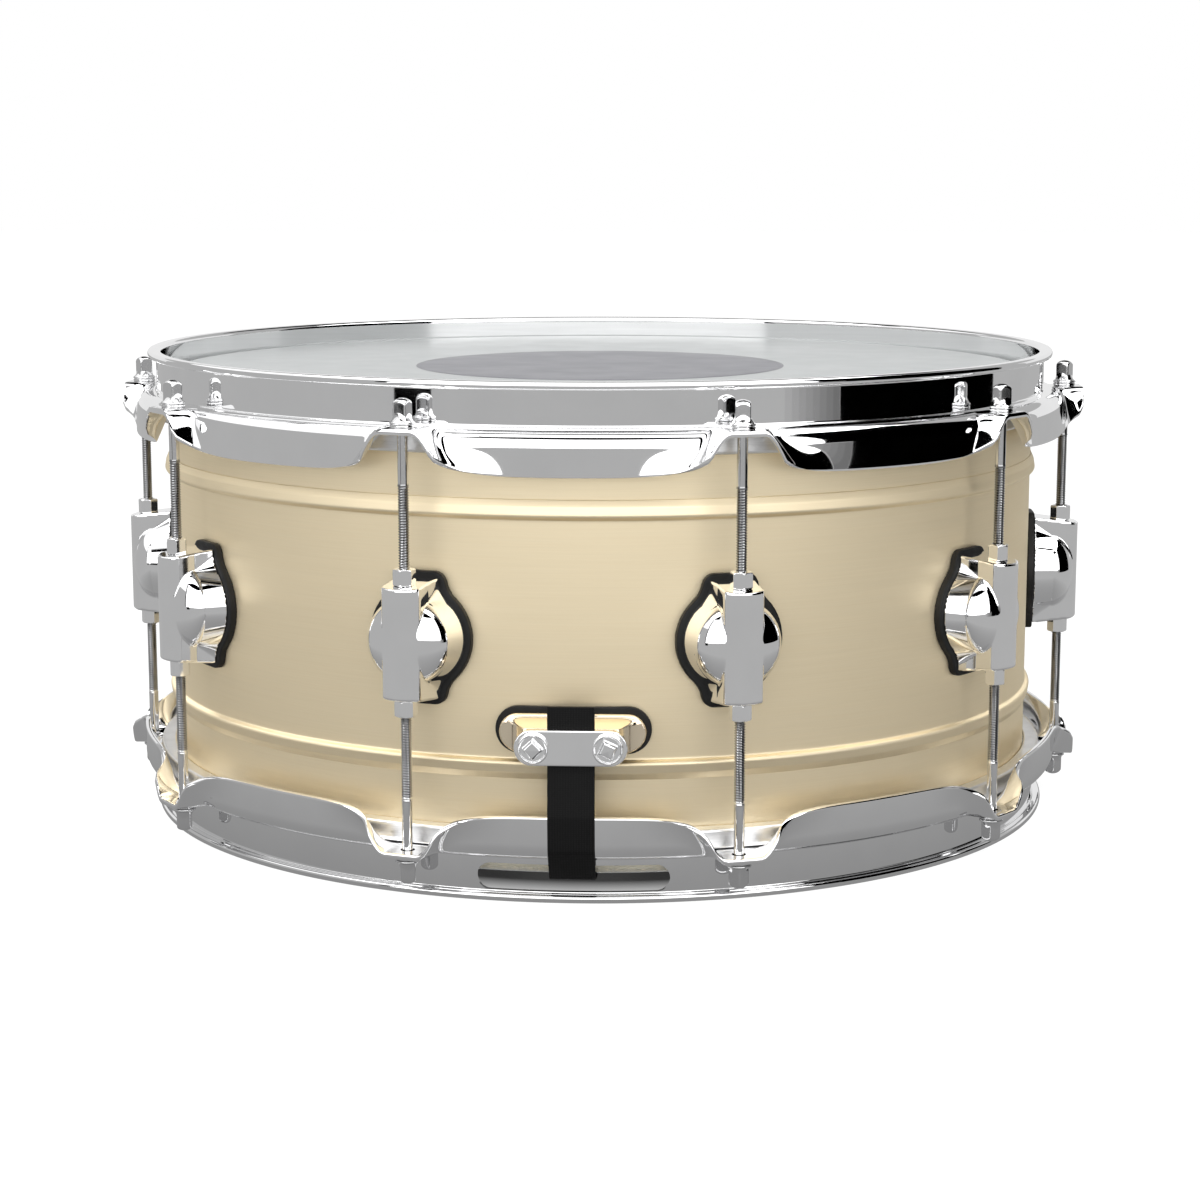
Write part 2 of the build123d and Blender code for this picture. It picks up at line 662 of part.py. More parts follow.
def make_throw_lever():
    """A yoke: two arms outside the cheeks, a bridge over the knob and a handle that curls outwards."""
    arm_top = PIVOT_HEIGHT + 42
    arm = Pos(PIVOT_RADIUS_OUT, PIVOT_HEIGHT) * Circle(LEVER_EYE_RADIUS)
    arm = arm + Pos(PIVOT_RADIUS_OUT, (PIVOT_HEIGHT + arm_top) / 2) * Rectangle(8, arm_top - PIVOT_HEIGHT)
    arm = arm - Pos(PIVOT_RADIUS_OUT, PIVOT_HEIGHT) * Circle(PIVOT_PIN_RADIUS + RUNNING_CLEARANCE)
    arm_middle = CHANNEL_HALF_WIDTH + CHEEK_THICKNESS + SLIDE_GAP + LEVER_ARM_THICKNESS / 2
    outside = arm_middle + LEVER_ARM_THICKNESS / 2
    arms = [Pos(0, side * arm_middle, 0) * sideways(arm, LEVER_ARM_THICKNESS / 2) for side in (-1, 1)]
    bridge = block(PIVOT_RADIUS_OUT - 4, PIVOT_RADIUS_OUT + 4, outside, arm_top - 5, arm_top)
    handle_outline = Polyline(
        (-3.0, -1.0),
        (0.0, -1.0),
        (1.0, 9.0),
        (6.0, 18.0),
        (9.0, 21.5),
        (7.0, 23.5),
        (3.5, 20.5),
        (-2.0, 10.5),
        close=True,
    )
    handle = Pos(PIVOT_RADIUS_OUT, 0, arm_top) * sideways(make_face(handle_outline), 13.0)
    return bridge + arms + handle


def make_carriage():
    half_width = CHANNEL_HALF_WIDTH - SLIDE_GAP
    carriage = block(BLOCK_BACK, CARRIAGE_FRONT, half_width, CARRIAGE_LOW, CARRIAGE_HIGH)
    carriage = chamfer(carriage.edges().filter_by(Axis.Z).sort_by(Axis.X)[-2:], 1.5)
    screw_way = upright(KNOB_SCREW_RADIUS + 0.1, CARRIAGE_LOW - 1, CARRIAGE_HIGH + 1, PIVOT_RADIUS_OUT)
    return carriage - screw_way


def make_knob():
    """The fine tension knob with its screw, which runs down through the carriage."""
    knob = upright(KNOB_RADIUS, KNOB_LOW, KNOB_HIGH, PIVOT_RADIUS_OUT)
    knob = chamfer(knob.edges().filter_by(GeomType.CIRCLE), 0.8)
    for k in range(KNOB_FLUTES):
        turn = radians(360 / KNOB_FLUTES * k)
        centre = (PIVOT_RADIUS_OUT + KNOB_RADIUS * cos(turn), KNOB_RADIUS * sin(turn))
        knob = knob - Pos(*centre, KNOB_LOW - 1) * extrude(Circle(0.55), amount=KNOB_HIGH - KNOB_LOW + 2)
    return knob + upright(KNOB_SCREW_RADIUS, KNOB_SCREW_LOW, KNOB_LOW + 1, PIVOT_RADIUS_OUT)


def make_clamp_block():
    half_width = CHANNEL_HALF_WIDTH - SLIDE_GAP
    body = block(BLOCK_BACK, CLAMP_BLOCK_FRONT, half_width, CLAMP_BLOCK_LOW, CLAMP_BLOCK_HIGH)
    thread_radius = KNOB_SCREW_RADIUS + RUNNING_CLEARANCE
    body = body - upright(thread_radius, CLAMP_BLOCK_LOW - 1, CLAMP_BLOCK_HIGH + 1, PIVOT_RADIUS_OUT)
    for side in (-1, 1):
        hole = Pos(side * CLAMP_SCREW_OFFSET, 0) * Circle(CLAMP_SCREW_RADIUS + RUNNING_CLEARANCE)
        body = body - outward(hole, CLAMP_BLOCK_FRONT - 7, CLAMP_BLOCK_FRONT + 1, CLAMP_PLATE_HEIGHT)
    return body


# Air vent

def make_air_vent():
    inside = SHELL_RADIUS - SHELL_WALL
    outer_flange = curved(Circle(VENT_FLANGE), SHELL_RADIUS, SHELL_RADIUS + VENT_LIP, LUG_HEIGHT)
    inner_flange = curved(Circle(VENT_INNER_FLANGE), inside - VENT_LIP, inside, LUG_HEIGHT)
    body = outward(Circle(VENT_TUBE), inside - VENT_LIP, SHELL_RADIUS + VENT_LIP - 0.1, LUG_HEIGHT)
    bore = outward(Circle(VENT_BORE), inside - 6, SHELL_RADIUS + 6, LUG_HEIGHT)
    return outer_flange + inner_flange + body - bore


def write_shell_and_heads():
    save("shell", make_shell())
    save("batter_hoop", make_hoop())
    save("snare_side_hoop", make_snare_side_hoop())
    film = make_head_film()
    save("batter_head_film", film)
    save("snare_side_head_film", upside_down(film))
    dot_seat = BATTER_PLANE - FILM_GAP / 5
    save("batter_head_dot", Pos(0, 0, dot_seat) * extrude(Circle(DOT_RADIUS), amount=DOT_THICKNESS))
    flesh_hoop = make_flesh_hoop()
    save("batter_flesh_hoop", flesh_hoop)
    save("snare_side_flesh_hoop", upside_down(flesh_hoop))
    save("air_vent_grommet", place(make_air_vent(), VENT_ANGLE))


def write_lugs():
    save("lug_casings", *around(make_lug_casing()))
    save("lug_gaskets", *around(make_lug_gasket()))
    nut = make_swivel_nut()
    save("upper_swivel_nuts", *around(nut))
    save("lower_swivel_nuts", *around(lower_nut(nut)))
    screws = []
    washers = []
    for offset in (-LUG_SCREW_OFFSET, LUG_SCREW_OFFSET):
        screws += around(make_mounting_screw(LUG_SEAT + 5, LUG_HEIGHT + offset))
        washers += around(make_mounting_washer(LUG_HEIGHT + offset))
    for side in (-1, 1):
        washers.append(place(make_mounting_washer(BUTT_HEIGHT), FRONT_ANGLE + side * BUTT_SCREW_ANGLE))
        height = STRAINER_HEIGHT + side * STRAINER_SCREW_OFFSET
        washers.append(place(make_mounting_washer(height), BACK_ANGLE))
    save("lug_mounting_screws", *screws)
    save("mounting_screw_washers", *washers)


def write_rods():
    rod = make_rod()
    washer = make_rod_washer()
    save("upper_rod_washers", *around(washer))
    save("lower_rod_washers", *around(upside_down(washer)))
    for number, angle in enumerate(LUG_ANGLES, start=1):
        save(f"upper_rod_{number:02d}", place(rod, angle))
        save(f"lower_rod_{number:02d}", place(lower_rod(rod), angle))


def write_butt_plate():
    save("butt_gasket", place(make_butt_gasket(), FRONT_ANGLE))
    save("butt_base_plate", place(make_butt_base(), FRONT_ANGLE))
    clamp_face = BUTT_BOSS_FACE + STRAP_THICKNESS
    clamp = make_clamp_plate(BUTT_CLAMP, clamp_face, BUTT_CLAMP_HEIGHT, BUTT_CLAMP_SCREW, SCREW_HOLE_RADIUS)
    save("butt_clamp_plate", place(clamp, FRONT_ANGLE))
    seat = (clamp_face + CLAMP_PLATE_THICKNESS, BUTT_CLAMP_HEIGHT)
    radii = (SCREW_RADIUS, BUTT_CLAMP_HEAD_RADIUS)
    turns = ((-1, 45), (1, 25))
    screws = [make_clamp_screw(side * BUTT_CLAMP_SCREW, seat, radii, turn) for side, turn in turns]
    save("butt_clamp_screws", *[place(screw, FRONT_ANGLE) for screw in screws])
    mounting = make_mounting_screw(BUTT_BASE_FACE - 1, BUTT_HEIGHT)
    angles = [FRONT_ANGLE + side * BUTT_SCREW_ANGLE for side in (-1, 1)]
    save("butt_mounting_screws", *[place(mounting, angle) for angle in angles])
    strap = ribbon([(BUTT_STRAP_FACE, 73.6), (BUTT_STRAP_FACE, 50.0), *STRAP_ROUTE_END])
    save("butt_strap", place(strap, FRONT_ANGLE))


def write_strainer():
    def at_back(shape):
        return place(shape, BACK_ANGLE)

    save("strainer_gasket", at_back(make_strainer_gasket()))
    save("strainer_housing", at_back(make_strainer_housing()))
    heights = [STRAINER_HEIGHT + side * STRAINER_SCREW_OFFSET for side in (-1, 1)]
    mounting = [make_mounting_screw(STRAINER_BASE_FACE, height) for height in heights]
    save("strainer_mounting_screws", *[at_back(screw) for screw in mounting])
    save("strainer_pivot_screws", *[at_back(screw) for screw in make_pivot_screws()])
    save("throw_lever", at_back(make_throw_lever()))
    save("strap_carriage", at_back(make_carriage()))
    save("tension_knob", at_back(make_knob()))
    save("strap_clamp_block", at_back(make_clamp_block()))
    clamp_face = CLAMP_BLOCK_FRONT + STRAP_THICKNESS
    hole_radius = CLAMP_SCREW_RADIUS + 0.2
    clamp = make_clamp_plate(CLAMP_PLATE, clamp_face, CLAMP_PLATE_HEIGHT, CLAMP_SCREW_OFFSET, hole_radius)
    save("strap_clamp_plate", at_back(clamp))
    seat = (clamp_face + CLAMP_PLATE_THICKNESS, CLAMP_PLATE_HEIGHT)
    radii = (CLAMP_SCREW_RADIUS, CLAMP_HEAD_RADIUS)
    screws = [make_clamp_screw(side * CLAMP_SCREW_OFFSET, seat, radii, 30) for side in (-1, 1)]
    save("strap_clamp_screws", *[at_back(screw) for screw in screws])
    face = STRAINER_STRAP_FACE
    strap = ribbon([(face, STRAINER_STRAP_TOP), (face, 50.0), *STRAP_ROUTE_END])
    save("strainer_strap", at_back(strap))


def write_snare_wires():
    tail = make_strap_tail()
    save("butt_strap_tail", place(tail, FRONT_ANGLE))
    save("strainer_strap_tail", place(tail, BACK_ANGLE))
    save("snare_strands", *make_strands())
    clip = make_end_clip()
    save("snare_end_clips", place(clip, FRONT_ANGLE), place(clip, BACK_ANGLE))


os.makedirs("parts", exist_ok=True)
write_shell_and_heads()
write_lugs()
write_rods()
write_butt_plate()
write_strainer()
write_snare_wires()
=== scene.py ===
import itertools
import json
import math

import bpy
import numpy as np
from mathutils import Matrix


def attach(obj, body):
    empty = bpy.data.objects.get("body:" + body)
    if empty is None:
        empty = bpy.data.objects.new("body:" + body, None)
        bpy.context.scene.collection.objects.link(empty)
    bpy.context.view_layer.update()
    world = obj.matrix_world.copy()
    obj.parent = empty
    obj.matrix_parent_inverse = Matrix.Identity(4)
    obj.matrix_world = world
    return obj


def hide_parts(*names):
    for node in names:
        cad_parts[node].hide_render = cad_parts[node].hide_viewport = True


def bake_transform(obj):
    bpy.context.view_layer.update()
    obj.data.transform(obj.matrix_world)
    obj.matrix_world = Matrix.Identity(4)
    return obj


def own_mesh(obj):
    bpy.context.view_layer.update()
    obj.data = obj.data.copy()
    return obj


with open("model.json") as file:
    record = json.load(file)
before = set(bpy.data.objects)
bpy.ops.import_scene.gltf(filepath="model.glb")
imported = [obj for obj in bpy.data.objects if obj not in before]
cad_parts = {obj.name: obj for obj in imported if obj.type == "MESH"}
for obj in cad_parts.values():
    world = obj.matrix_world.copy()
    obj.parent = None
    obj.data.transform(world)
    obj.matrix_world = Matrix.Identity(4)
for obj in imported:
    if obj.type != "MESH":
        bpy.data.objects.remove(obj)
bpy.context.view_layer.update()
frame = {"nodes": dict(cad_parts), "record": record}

# A 14 by 6.5 inch brass snare drum. Sizes are millimetres until a mesh is made; the scene is in metres.
# The butt plate faces -Y and the strainer +Y. Small pieces are modelled on the +X radius
# (X outward, Y around, Z up) and turned to their angle, counted from the front towards +X.

MM = 0.001

# The drum's main sizes, which follow the CAD source
DRUM_HEIGHT = 186.8
SHELL_RADIUS = 177.8
SHELL_WALL = 1.2
SHELL_MIDDLE = 94.3
EDGE_RADIUS = 3.0
EDGE_HEIGHT = 12.0
HEAD_RECESS = 8.7
ROD_CIRCLE = 192.0
ROD_SEAT = 172.2
LUG_COUNT = 10
LUG_PITCH = 36
LUG_HEIGHT = 94.0
LUG_ANGLES = [LUG_PITCH / 2 + LUG_PITCH * k for k in range(LUG_COUNT)]
LUG_SEAT = 180.8
LIP_RADIUS = 185.6
LIP_DEPTH = 2.9
COLLAR_RADIUS = 182.3
HOOP_SHEET = 2.2
SHOULDER_DEPTH = 16.3
SKIRT_DEPTH = 33.0
EAR_RADIUS = 199.2
GATE = (69.6, 3.4, 13.4)
VENT_ANGLE = 108.0
VENT_RADIUS = 6.25
DOT_RADIUS = 76.3
FLESH_HOOP_DEPTH = 18.6
FLESH_HOOP_HEIGHT = 7.4
FLESH_HOOP_RADII = (178.15, 184.2)


# Mesh tools

def place(name, data):
    """A new object in the scene."""
    made = bpy.data.objects.new(name, data)
    bpy.context.scene.collection.objects.link(made)
    return made


def make_mesh(name, points, faces, normals=None, sharp=None):
    """A mesh from points in millimetres, smooth except over edges sharper than the given angle."""
    mesh = bpy.data.meshes.new(name)
    mesh.from_pydata((np.asarray(points, float) * MM).tolist(), [], [list(map(int, f)) for f in faces])
    mesh.validate()
    mesh.shade_smooth()
    if sharp is not None:
        mesh.set_sharp_from_angle(angle=math.radians(sharp))
    if normals is not None:
        mesh.normals_split_custom_set_from_vertices(np.asarray(normals, float).tolist())
    return mesh


def make_object(name, points, faces, sharp=None):
    return place(name, make_mesh(name, points, faces, sharp=sharp))


def turn(angle):
    """The matrix that turns a piece on the +X radius to its place around the drum."""
    return Matrix.Rotation(math.radians(angle - 90), 4, "Z")


def rotated(points, degrees):
    """Points turned about the vertical axis."""
    a = math.radians(degrees)
    c, s = math.cos(a), math.sin(a)
    p = np.asarray(points, float)
    return np.stack([p[:, 0] * c - p[:, 1] * s, p[:, 0] * s + p[:, 1] * c, p[:, 2]], 1)


def turned(points, angle):
    """Points on the +X radius, turned to their place around the drum."""
    return rotated(points, angle - 90)


def around(distance, azimuth, z):
    """A point at a distance from the drum's axis, its azimuth in radians from the front towards +X."""
    return distance * math.sin(azimuth), -distance * math.cos(azimuth), z


def mirrored(points, faces):
    """A piece of the batter side as its mirror image on the snare side."""
    return np.asarray(points, float) * (1, 1, -1) + (0, 0, DRUM_HEIGHT), [f[::-1] for f in faces]


def join(parts):
    """Several (points, faces) as one."""
    points, faces, count = [], [], 0
    for p, f in parts:
        points.append(np.asarray(p, float))
        faces += [tuple(i + count for i in face) for face in f]
        count += len(p)
    return np.concatenate(points), faces


def grid_faces(rows, columns, closed_rows=False, closed_columns=False):
    faces = []
    for i in range(rows if closed_rows else rows - 1):
        for j in range(columns if closed_columns else columns - 1):
            a = i * columns + j
            b = i * columns + (j + 1) % columns
            c = ((i + 1) % rows) * columns + (j + 1) % columns
            d = ((i + 1) % rows) * columns + j
            faces.append((a, b, c, d))
    return faces


def tube_faces(rows, columns):
    """Faces of a tube of rings, with a flat face at each end."""
    last = (rows - 1) * columns
    ends = [tuple(reversed(range(columns))), tuple(range(last, last + columns))]
    return grid_faces(rows, columns, closed_columns=True) + ends


def prism(outline, low, high):
    """A closed prism along local X from an outline in (around, up)."""
    points = [(x, y, z) for x in (low, high) for y, z in outline]
    return np.array(points, float), tube_faces(2, len(outline))


def circle(radius, x=0.0, y=0.0):
    """Points of a circle, 15 degrees apart."""
    angles = [math.radians(15 * k) for k in range(24)]
    return [(x + radius * math.cos(a), y + radius * math.sin(a)) for a in angles]


def rounded(corners, steps=6, closed=False):
    """A polyline through (x, y, radius) corners, each rounded by an arc."""
    out = []
    n = len(corners)
    for i, (x, y, r) in enumerate(corners):
        if not closed and i in (0, n - 1) or r <= 0:
            out.append((x, y))
            continue
        p = np.array((x, y), float)
        a = np.array(corners[i - 1][:2], float) - p
        b = np.array(corners[(i + 1) % n][:2], float) - p
        a /= np.linalg.norm(a)
        b /= np.linalg.norm(b)
        half = math.acos(np.clip(a @ b, -1, 1)) / 2
        reach = r / math.tan(half)
        centre = p + (a + b) / np.linalg.norm(a + b) * r / math.sin(half)
        first, last = p + a * reach - centre, p + b * reach - centre
        sweep = math.atan2(first[0] * last[1] - first[1] * last[0], first @ last)
        for k in range(steps + 1):
            t = sweep * k / steps
            c, s = math.cos(t), math.sin(t)
            out.append((centre[0] + first[0] * c - first[1] * s, centre[1] + first[0] * s + first[1] * c))
    return out


def rounded_rectangle(x, y, r, steps):
    """A closed rectangle over x and y ranges, its corners rounded."""
    corners = [(x[0], y[0], r), (x[1], y[0], r), (x[1], y[1], r), (x[0], y[1], r)]
    return rounded(corners, steps, closed=True)


def held(points, gap=0.25):
    """Extra points near both ends of each long straight run, so smooth shading stays flat along it."""
    out = [tuple(points[0])]
    for a, b in zip(points, points[1:]):
        a, b = np.array(a, float), np.array(b, float)
        length = np.linalg.norm(b - a)
        if length > 5 * gap:
            out += [tuple(a + (b - a) * gap / length), tuple(b - (b - a) * gap / length)]
        out.append(tuple(b))
    return out


def lathe(profile, segments, closed=True):
    """A surface of revolution about the drum's axis from (radius, height) points."""
    ring = np.asarray(profile, float)
    angles = np.arange(segments) * 2 * math.pi / segments
    points = [np.stack([ring[:, 0] * math.cos(a), ring[:, 0] * math.sin(a), ring[:, 1]], 1) for a in angles]
    return np.concatenate(points), grid_faces(segments, len(ring), closed_rows=True, closed_columns=closed)


def ride(made, body, slot, *nodes):
    """Gives a piece its body, slot and material, in place of the CAD nodes that it stands for."""
    if nodes:
        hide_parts(*nodes)
    made.data.materials.clear()
    made.data.materials.append(MATERIALS[slot])
    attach(made, body)
    return made


# Distance fields, for fittings with fillets

def smooth_min(a, b, k):
    """The union of two fields, with a fillet between them."""
    h = np.maximum(k - np.abs(a - b), 0) / k
    return np.minimum(a, b) - h * h * k / 4


def smooth_max(a, b, k):
    return -smooth_min(-a, -b, k)


def round_max(a, b, r):
    """The intersection of two fields, its edge rounded."""
    u, v = np.maximum(r + a, 0), np.maximum(r + b, 0)
    return np.minimum(np.maximum(a, b), -r) + np.hypot(u, v)


def slab(x, middle, half):
    return np.abs(x - middle) - half


def box2(x, y, half_x, half_y, r):
    qx, qy = np.abs(x) - half_x + r, np.abs(y) - half_y + r
    return np.hypot(np.maximum(qx, 0), np.maximum(qy, 0)) + np.minimum(np.maximum(qx, qy), 0) - r


def sign_changes(value):
    """Along each axis: the grid edges where a value changes sign, its zeros on them, and where it rises."""
    found = []
    for axis in range(3):
        first, last = [slice(None)] * 3, [slice(None)] * 3
        first[axis], last[axis] = slice(0, -1), slice(1, None)
        a, b = value[tuple(first)], value[tuple(last)]
        where = np.argwhere((a < 0) != (b < 0))
        va, vb = a[tuple(where.T)], b[tuple(where.T)]
        zeros = where.astype(float)
        zeros[:, axis] += va / (va - vb)
        found.append((axis, where, zeros, va < 0))
    return found


def cell_points(changes, cells):
    """A point in each crossed cell, the mean of the zeros on its edges, and every cell's point number."""
    total, weight = np.zeros(cells + (3,)), np.zeros(cells)
    for axis, where, zeros, _ in changes:
        u, v = [other for other in range(3) if other != axis]
        for du, dv in itertools.product((0, 1), repeat=2):
            owner = where.copy()
            owner[:, u] -= du
            owner[:, v] -= dv
            inside = np.all((owner >= 0) & (owner < np.array(cells)), 1)
            np.add.at(total, tuple(owner[inside].T), zeros[inside])
            np.add.at(weight, tuple(owner[inside].T), 1)
    used = weight > 0
    number = -np.ones(cells, int)
    number[used] = np.arange(used.sum())
    return total[used] / weight[used][:, None], number


def cell_quads(changes, number):
    """A quad across each crossed edge, between the points of the four cells around it."""
    faces = []
    for axis, where, _, rising in changes:
        u, v = [(1, 2), (2, 0), (0, 1)][axis]
        inner = (where[:, u] > 0) & (where[:, v] > 0)
        inner &= (where[:, u] < number.shape[u]) & (where[:, v] < number.shape[v])
        where, rising = where[inner], rising[inner]
        corners = []
        for du, dv in ((1, 1), (0, 1), (0, 0), (1, 0)):
            owner = where.copy()
            owner[:, u] -= du
            owner[:, v] -= dv
            corners.append(number[tuple(owner.T)])
        quads = np.stack(corners, 1)
        quads[~rising] = quads[~rising][:, ::-1]
        faces.append(quads)
    return np.concatenate(faces)


def field_slope(field, points, step=0.01):
    """A field's gradient, by small differences."""
    slope = np.zeros_like(points)
    for axis in range(3):
        d = np.zeros(3)
        d[axis] = step
        slope[:, axis] = (field(points + d) - field(points - d)) / (2 * step)
    return slope


def field_mesh(field, low, high, cell):
    """The surface where a field is zero, as even quads pulled on to it, with the field's own normals."""
    axes = [a + cell * np.arange(int(math.ceil((b - a) / cell)) + 1) for a, b in zip(low, high)]
    grid = np.stack(np.meshgrid(*axes, indexing="ij"), -1)
    value = field(grid.reshape(-1, 3)).reshape(grid.shape[:3])
    changes = sign_changes(value)
    places, number = cell_points(changes, tuple(len(a) - 1 for a in axes))
    points = np.array(low) + cell * places
    pulls = 4
    for _ in range(pulls):
        slope = field_slope(field, points)
        move = field(points)[:, None] * slope / np.maximum((slope * slope).sum(1), 0.05)[:, None]
        length = np.linalg.norm(move, axis=1)
        points = points - move * np.minimum(1, 0.6 * cell / np.maximum(length, 1e-9))[:, None]
    slope = field_slope(field, points)
    normals = slope / np.maximum(np.linalg.norm(slope, axis=1), 1e-9)[:, None]
    return points, cell_quads(changes, number), normals


def turned_over(pattern, total):
    """A meshed field upside down, so that z becomes total - z."""
    points, faces, normals = pattern
    return points * (1, 1, -1) + (0, 0, total), faces[:, ::-1], normals * (1, 1, -1)


# Materials

def nodes_of(name):
    """A new material, its node tree and its main shader."""
    material = bpy.data.materials.new(name)
    material.use_nodes = True
    tree = material.node_tree
    shader = tree.nodes["Principled BSDF"]
    return material, tree, shader


def noise(tree, scale, detail=2.0, stretch=(1, 1, 1)):
    """A noise value over the piece's own coordinates."""
    where = tree.nodes.new("ShaderNodeTexCoord")
    mapping = tree.nodes.new("ShaderNodeMapping")
    mapping.inputs["Scale"].default_value = stretch
    texture = tree.nodes.new("ShaderNodeTexNoise")
    texture.inputs["Scale"].default_value = scale
    texture.inputs["Detail"].default_value = detail
    tree.links.new(where.outputs["Object"], mapping.inputs["Vector"])
    tree.links.new(mapping.outputs["Vector"], texture.inputs["Vector"])
    return texture.outputs["Fac"]


def ramp(tree, source, low, high, from_low=0.3, from_high=0.7):
    """A noise value spread between two colours."""
    node = tree.nodes.new("ShaderNodeValToRGB")
    node.color_ramp.elements[0].position = from_low
    node.color_ramp.elements[1].position = from_high
    node.color_ramp.elements[0].color = (*low, 1)
    node.color_ramp.elements[1].color = (*high, 1)
    tree.links.new(source, node.inputs["Fac"])
    return node.outputs["Color"]


def spread(tree, source, low, high):
    """A noise value spread between two numbers."""
    node = tree.nodes.new("ShaderNodeMapRange")
    node.inputs["From Min"].default_value = 0.3
    node.inputs["From Max"].default_value = 0.7
    node.inputs["To Min"].default_value = low
    node.inputs["To Max"].default_value = high
    tree.links.new(source, node.inputs["Value"])
    return node.outputs["Result"]


def bump(tree, shader, source, strength, distance):
    node = tree.nodes.new("ShaderNodeBump")
    node.inputs["Strength"].default_value = strength
    node.inputs["Distance"].default_value = distance
    tree.links.new(source, node.inputs["Height"])
    tree.links.new(node.outputs["Normal"], shader.inputs["Normal"])


def metal(name, colour, darker, rough, scale=60, stretch=(1, 1, 1), relief=0.0):
    """Polished or worked metal: faint clouding of its colour and gloss, and a fine relief."""
    material, tree, shader = nodes_of(name)
    shader.inputs["Metallic"].default_value = 1.0
    cloud = noise(tree, scale, 3.0, stretch)
    tree.links.new(ramp(tree, cloud, darker, colour), shader.inputs["Base Color"])
    tree.links.new(spread(tree, noise(tree, scale * 1.7, 2.0, stretch), *rough), shader.inputs["Roughness"])
    if relief:
        bump(tree, shader, noise(tree, scale * 4, 2.0, stretch), relief, 0.0002)
    return material


# Where the painted groove shade on the thread fades into the plain shanks, as distances from the shell's
# middle.
PLAIN_SHANK_FADE = (56.0, 56.6)


def rod_steel():
    """Plated steel, its threaded zone between the plain shanks at the rod's two ends painted darker as the
    shade in the thread's grooves.
    """
    material, tree, shader = nodes_of("rod_plated_steel")
    shader.inputs["Metallic"].default_value = 1.0
    where = tree.nodes.new("ShaderNodeTexCoord")
    split = tree.nodes.new("ShaderNodeSeparateXYZ")
    tree.links.new(where.outputs["Object"], split.inputs[0])
    away = tree.nodes.new("ShaderNodeMath")
    away.operation = "SUBTRACT"
    away.inputs[1].default_value = SHELL_MIDDLE * MM
    tree.links.new(split.outputs["Z"], away.inputs[0])
    distance = tree.nodes.new("ShaderNodeMath")
    distance.operation = "ABSOLUTE"
    tree.links.new(away.outputs[0], distance.inputs[0])
    groove_shade = tree.nodes.new("ShaderNodeMapRange")
    groove_shade.inputs["From Min"].default_value = PLAIN_SHANK_FADE[0] * MM
    groove_shade.inputs["From Max"].default_value = PLAIN_SHANK_FADE[1] * MM
    tree.links.new(distance.outputs[0], groove_shade.inputs["Value"])
    # Painted shade: the threaded zone gets a darker base colour that stands in for the shade in its grooves,
    # while the plain shanks keep the plated colour.
    colour = ramp(tree, groove_shade.outputs["Result"], (0.27, 0.27, 0.275), (0.74, 0.74, 0.745), 0.0, 1.0)
    tree.links.new(colour, shader.inputs["Base Color"])
    tree.links.new(spread(tree, noise(tree, 340, 2.0), 0.05, 0.09), shader.inputs["Roughness"])
    return material


def brass():
    """Lacquered satin brass, brushed around the shell."""
    material, tree, shader = nodes_of("satin_brass")
    shader.inputs["Metallic"].default_value = 1.0
    shader.inputs["Anisotropic"].default_value = 0.65
    tangent = tree.nodes.new("ShaderNodeTangent")
    tangent.direction_type = "RADIAL"
    tangent.axis = "Z"
    tree.links.new(tangent.outputs["Tangent"], shader.inputs["Tangent"])
    lines = noise(tree, 30, 4.0, (1, 1, 90))
    tree.links.new(ramp(tree, lines, (0.94, 0.815, 0.58), (0.965, 0.84, 0.605)), shader.inputs["Base Color"])
    tree.links.new(spread(tree, noise(tree, 22, 3.0, (1, 1, 60)), 0.50, 0.56), shader.inputs["Roughness"])
    return material


def film(name, colour, darker, rough, translucent=0.0):
    """Satin plastic sheet, faintly clouded."""
    material, tree, shader = nodes_of(name)
    tree.links.new(ramp(tree, noise(tree, 25, 3.0), darker, colour), shader.inputs["Base Color"])
    tree.links.new(spread(tree, noise(tree, 60, 2.0), *rough), shader.inputs["Roughness"])
    shader.inputs["Specular IOR Level"].default_value = 0.35
    shader.inputs["Transmission Weight"].default_value = translucent
    return material


def rubber(name):
    """Matt black rubber with a fine grain."""
    material, tree, shader = nodes_of(name)
    colour = ramp(tree, noise(tree, 90, 4.0), (0.006, 0.006, 0.006), (0.014, 0.014, 0.014))
    tree.links.new(colour, shader.inputs["Base Color"])
    tree.links.new(spread(tree, noise(tree, 200, 2.0), 0.45, 0.62), shader.inputs["Roughness"])
    shader.inputs["Specular IOR Level"].default_value = 0.25
    bump(tree, shader, noise(tree, 700, 3.0), 0.12, 0.0002)
    return material


def webbing(name):
    """Woven nylon tape: fine ribs across it in both directions."""
    material, tree, shader = nodes_of(name)
    where = tree.nodes.new("ShaderNodeTexCoord")
    waves = []
    for direction, scale in (("X", 330.0), ("Z", 420.0)):
        wave = tree.nodes.new("ShaderNodeTexWave")
        wave.bands_direction = direction
        wave.inputs["Scale"].default_value = scale
        wave.inputs["Distortion"].default_value = 0.4
        tree.links.new(where.outputs["Object"], wave.inputs["Vector"])
        waves.append(wave.outputs["Fac"])
    mix = tree.nodes.new("ShaderNodeMath")
    mix.operation = "MULTIPLY"
    tree.links.new(waves[0], mix.inputs[0])
    tree.links.new(waves[1], mix.inputs[1])
    colour = ramp(tree, mix.outputs[0], (0.002, 0.002, 0.002), (0.009, 0.009, 0.0095), 0.0, 1.0)
    tree.links.new(colour, shader.inputs["Base Color"])
    shader.inputs["Roughness"].default_value = 0.55
    shader.inputs["Specular IOR Level"].default_value = 0.15
    bump(tree, shader, mix.outputs[0], 0.25, 0.0002)
    return material


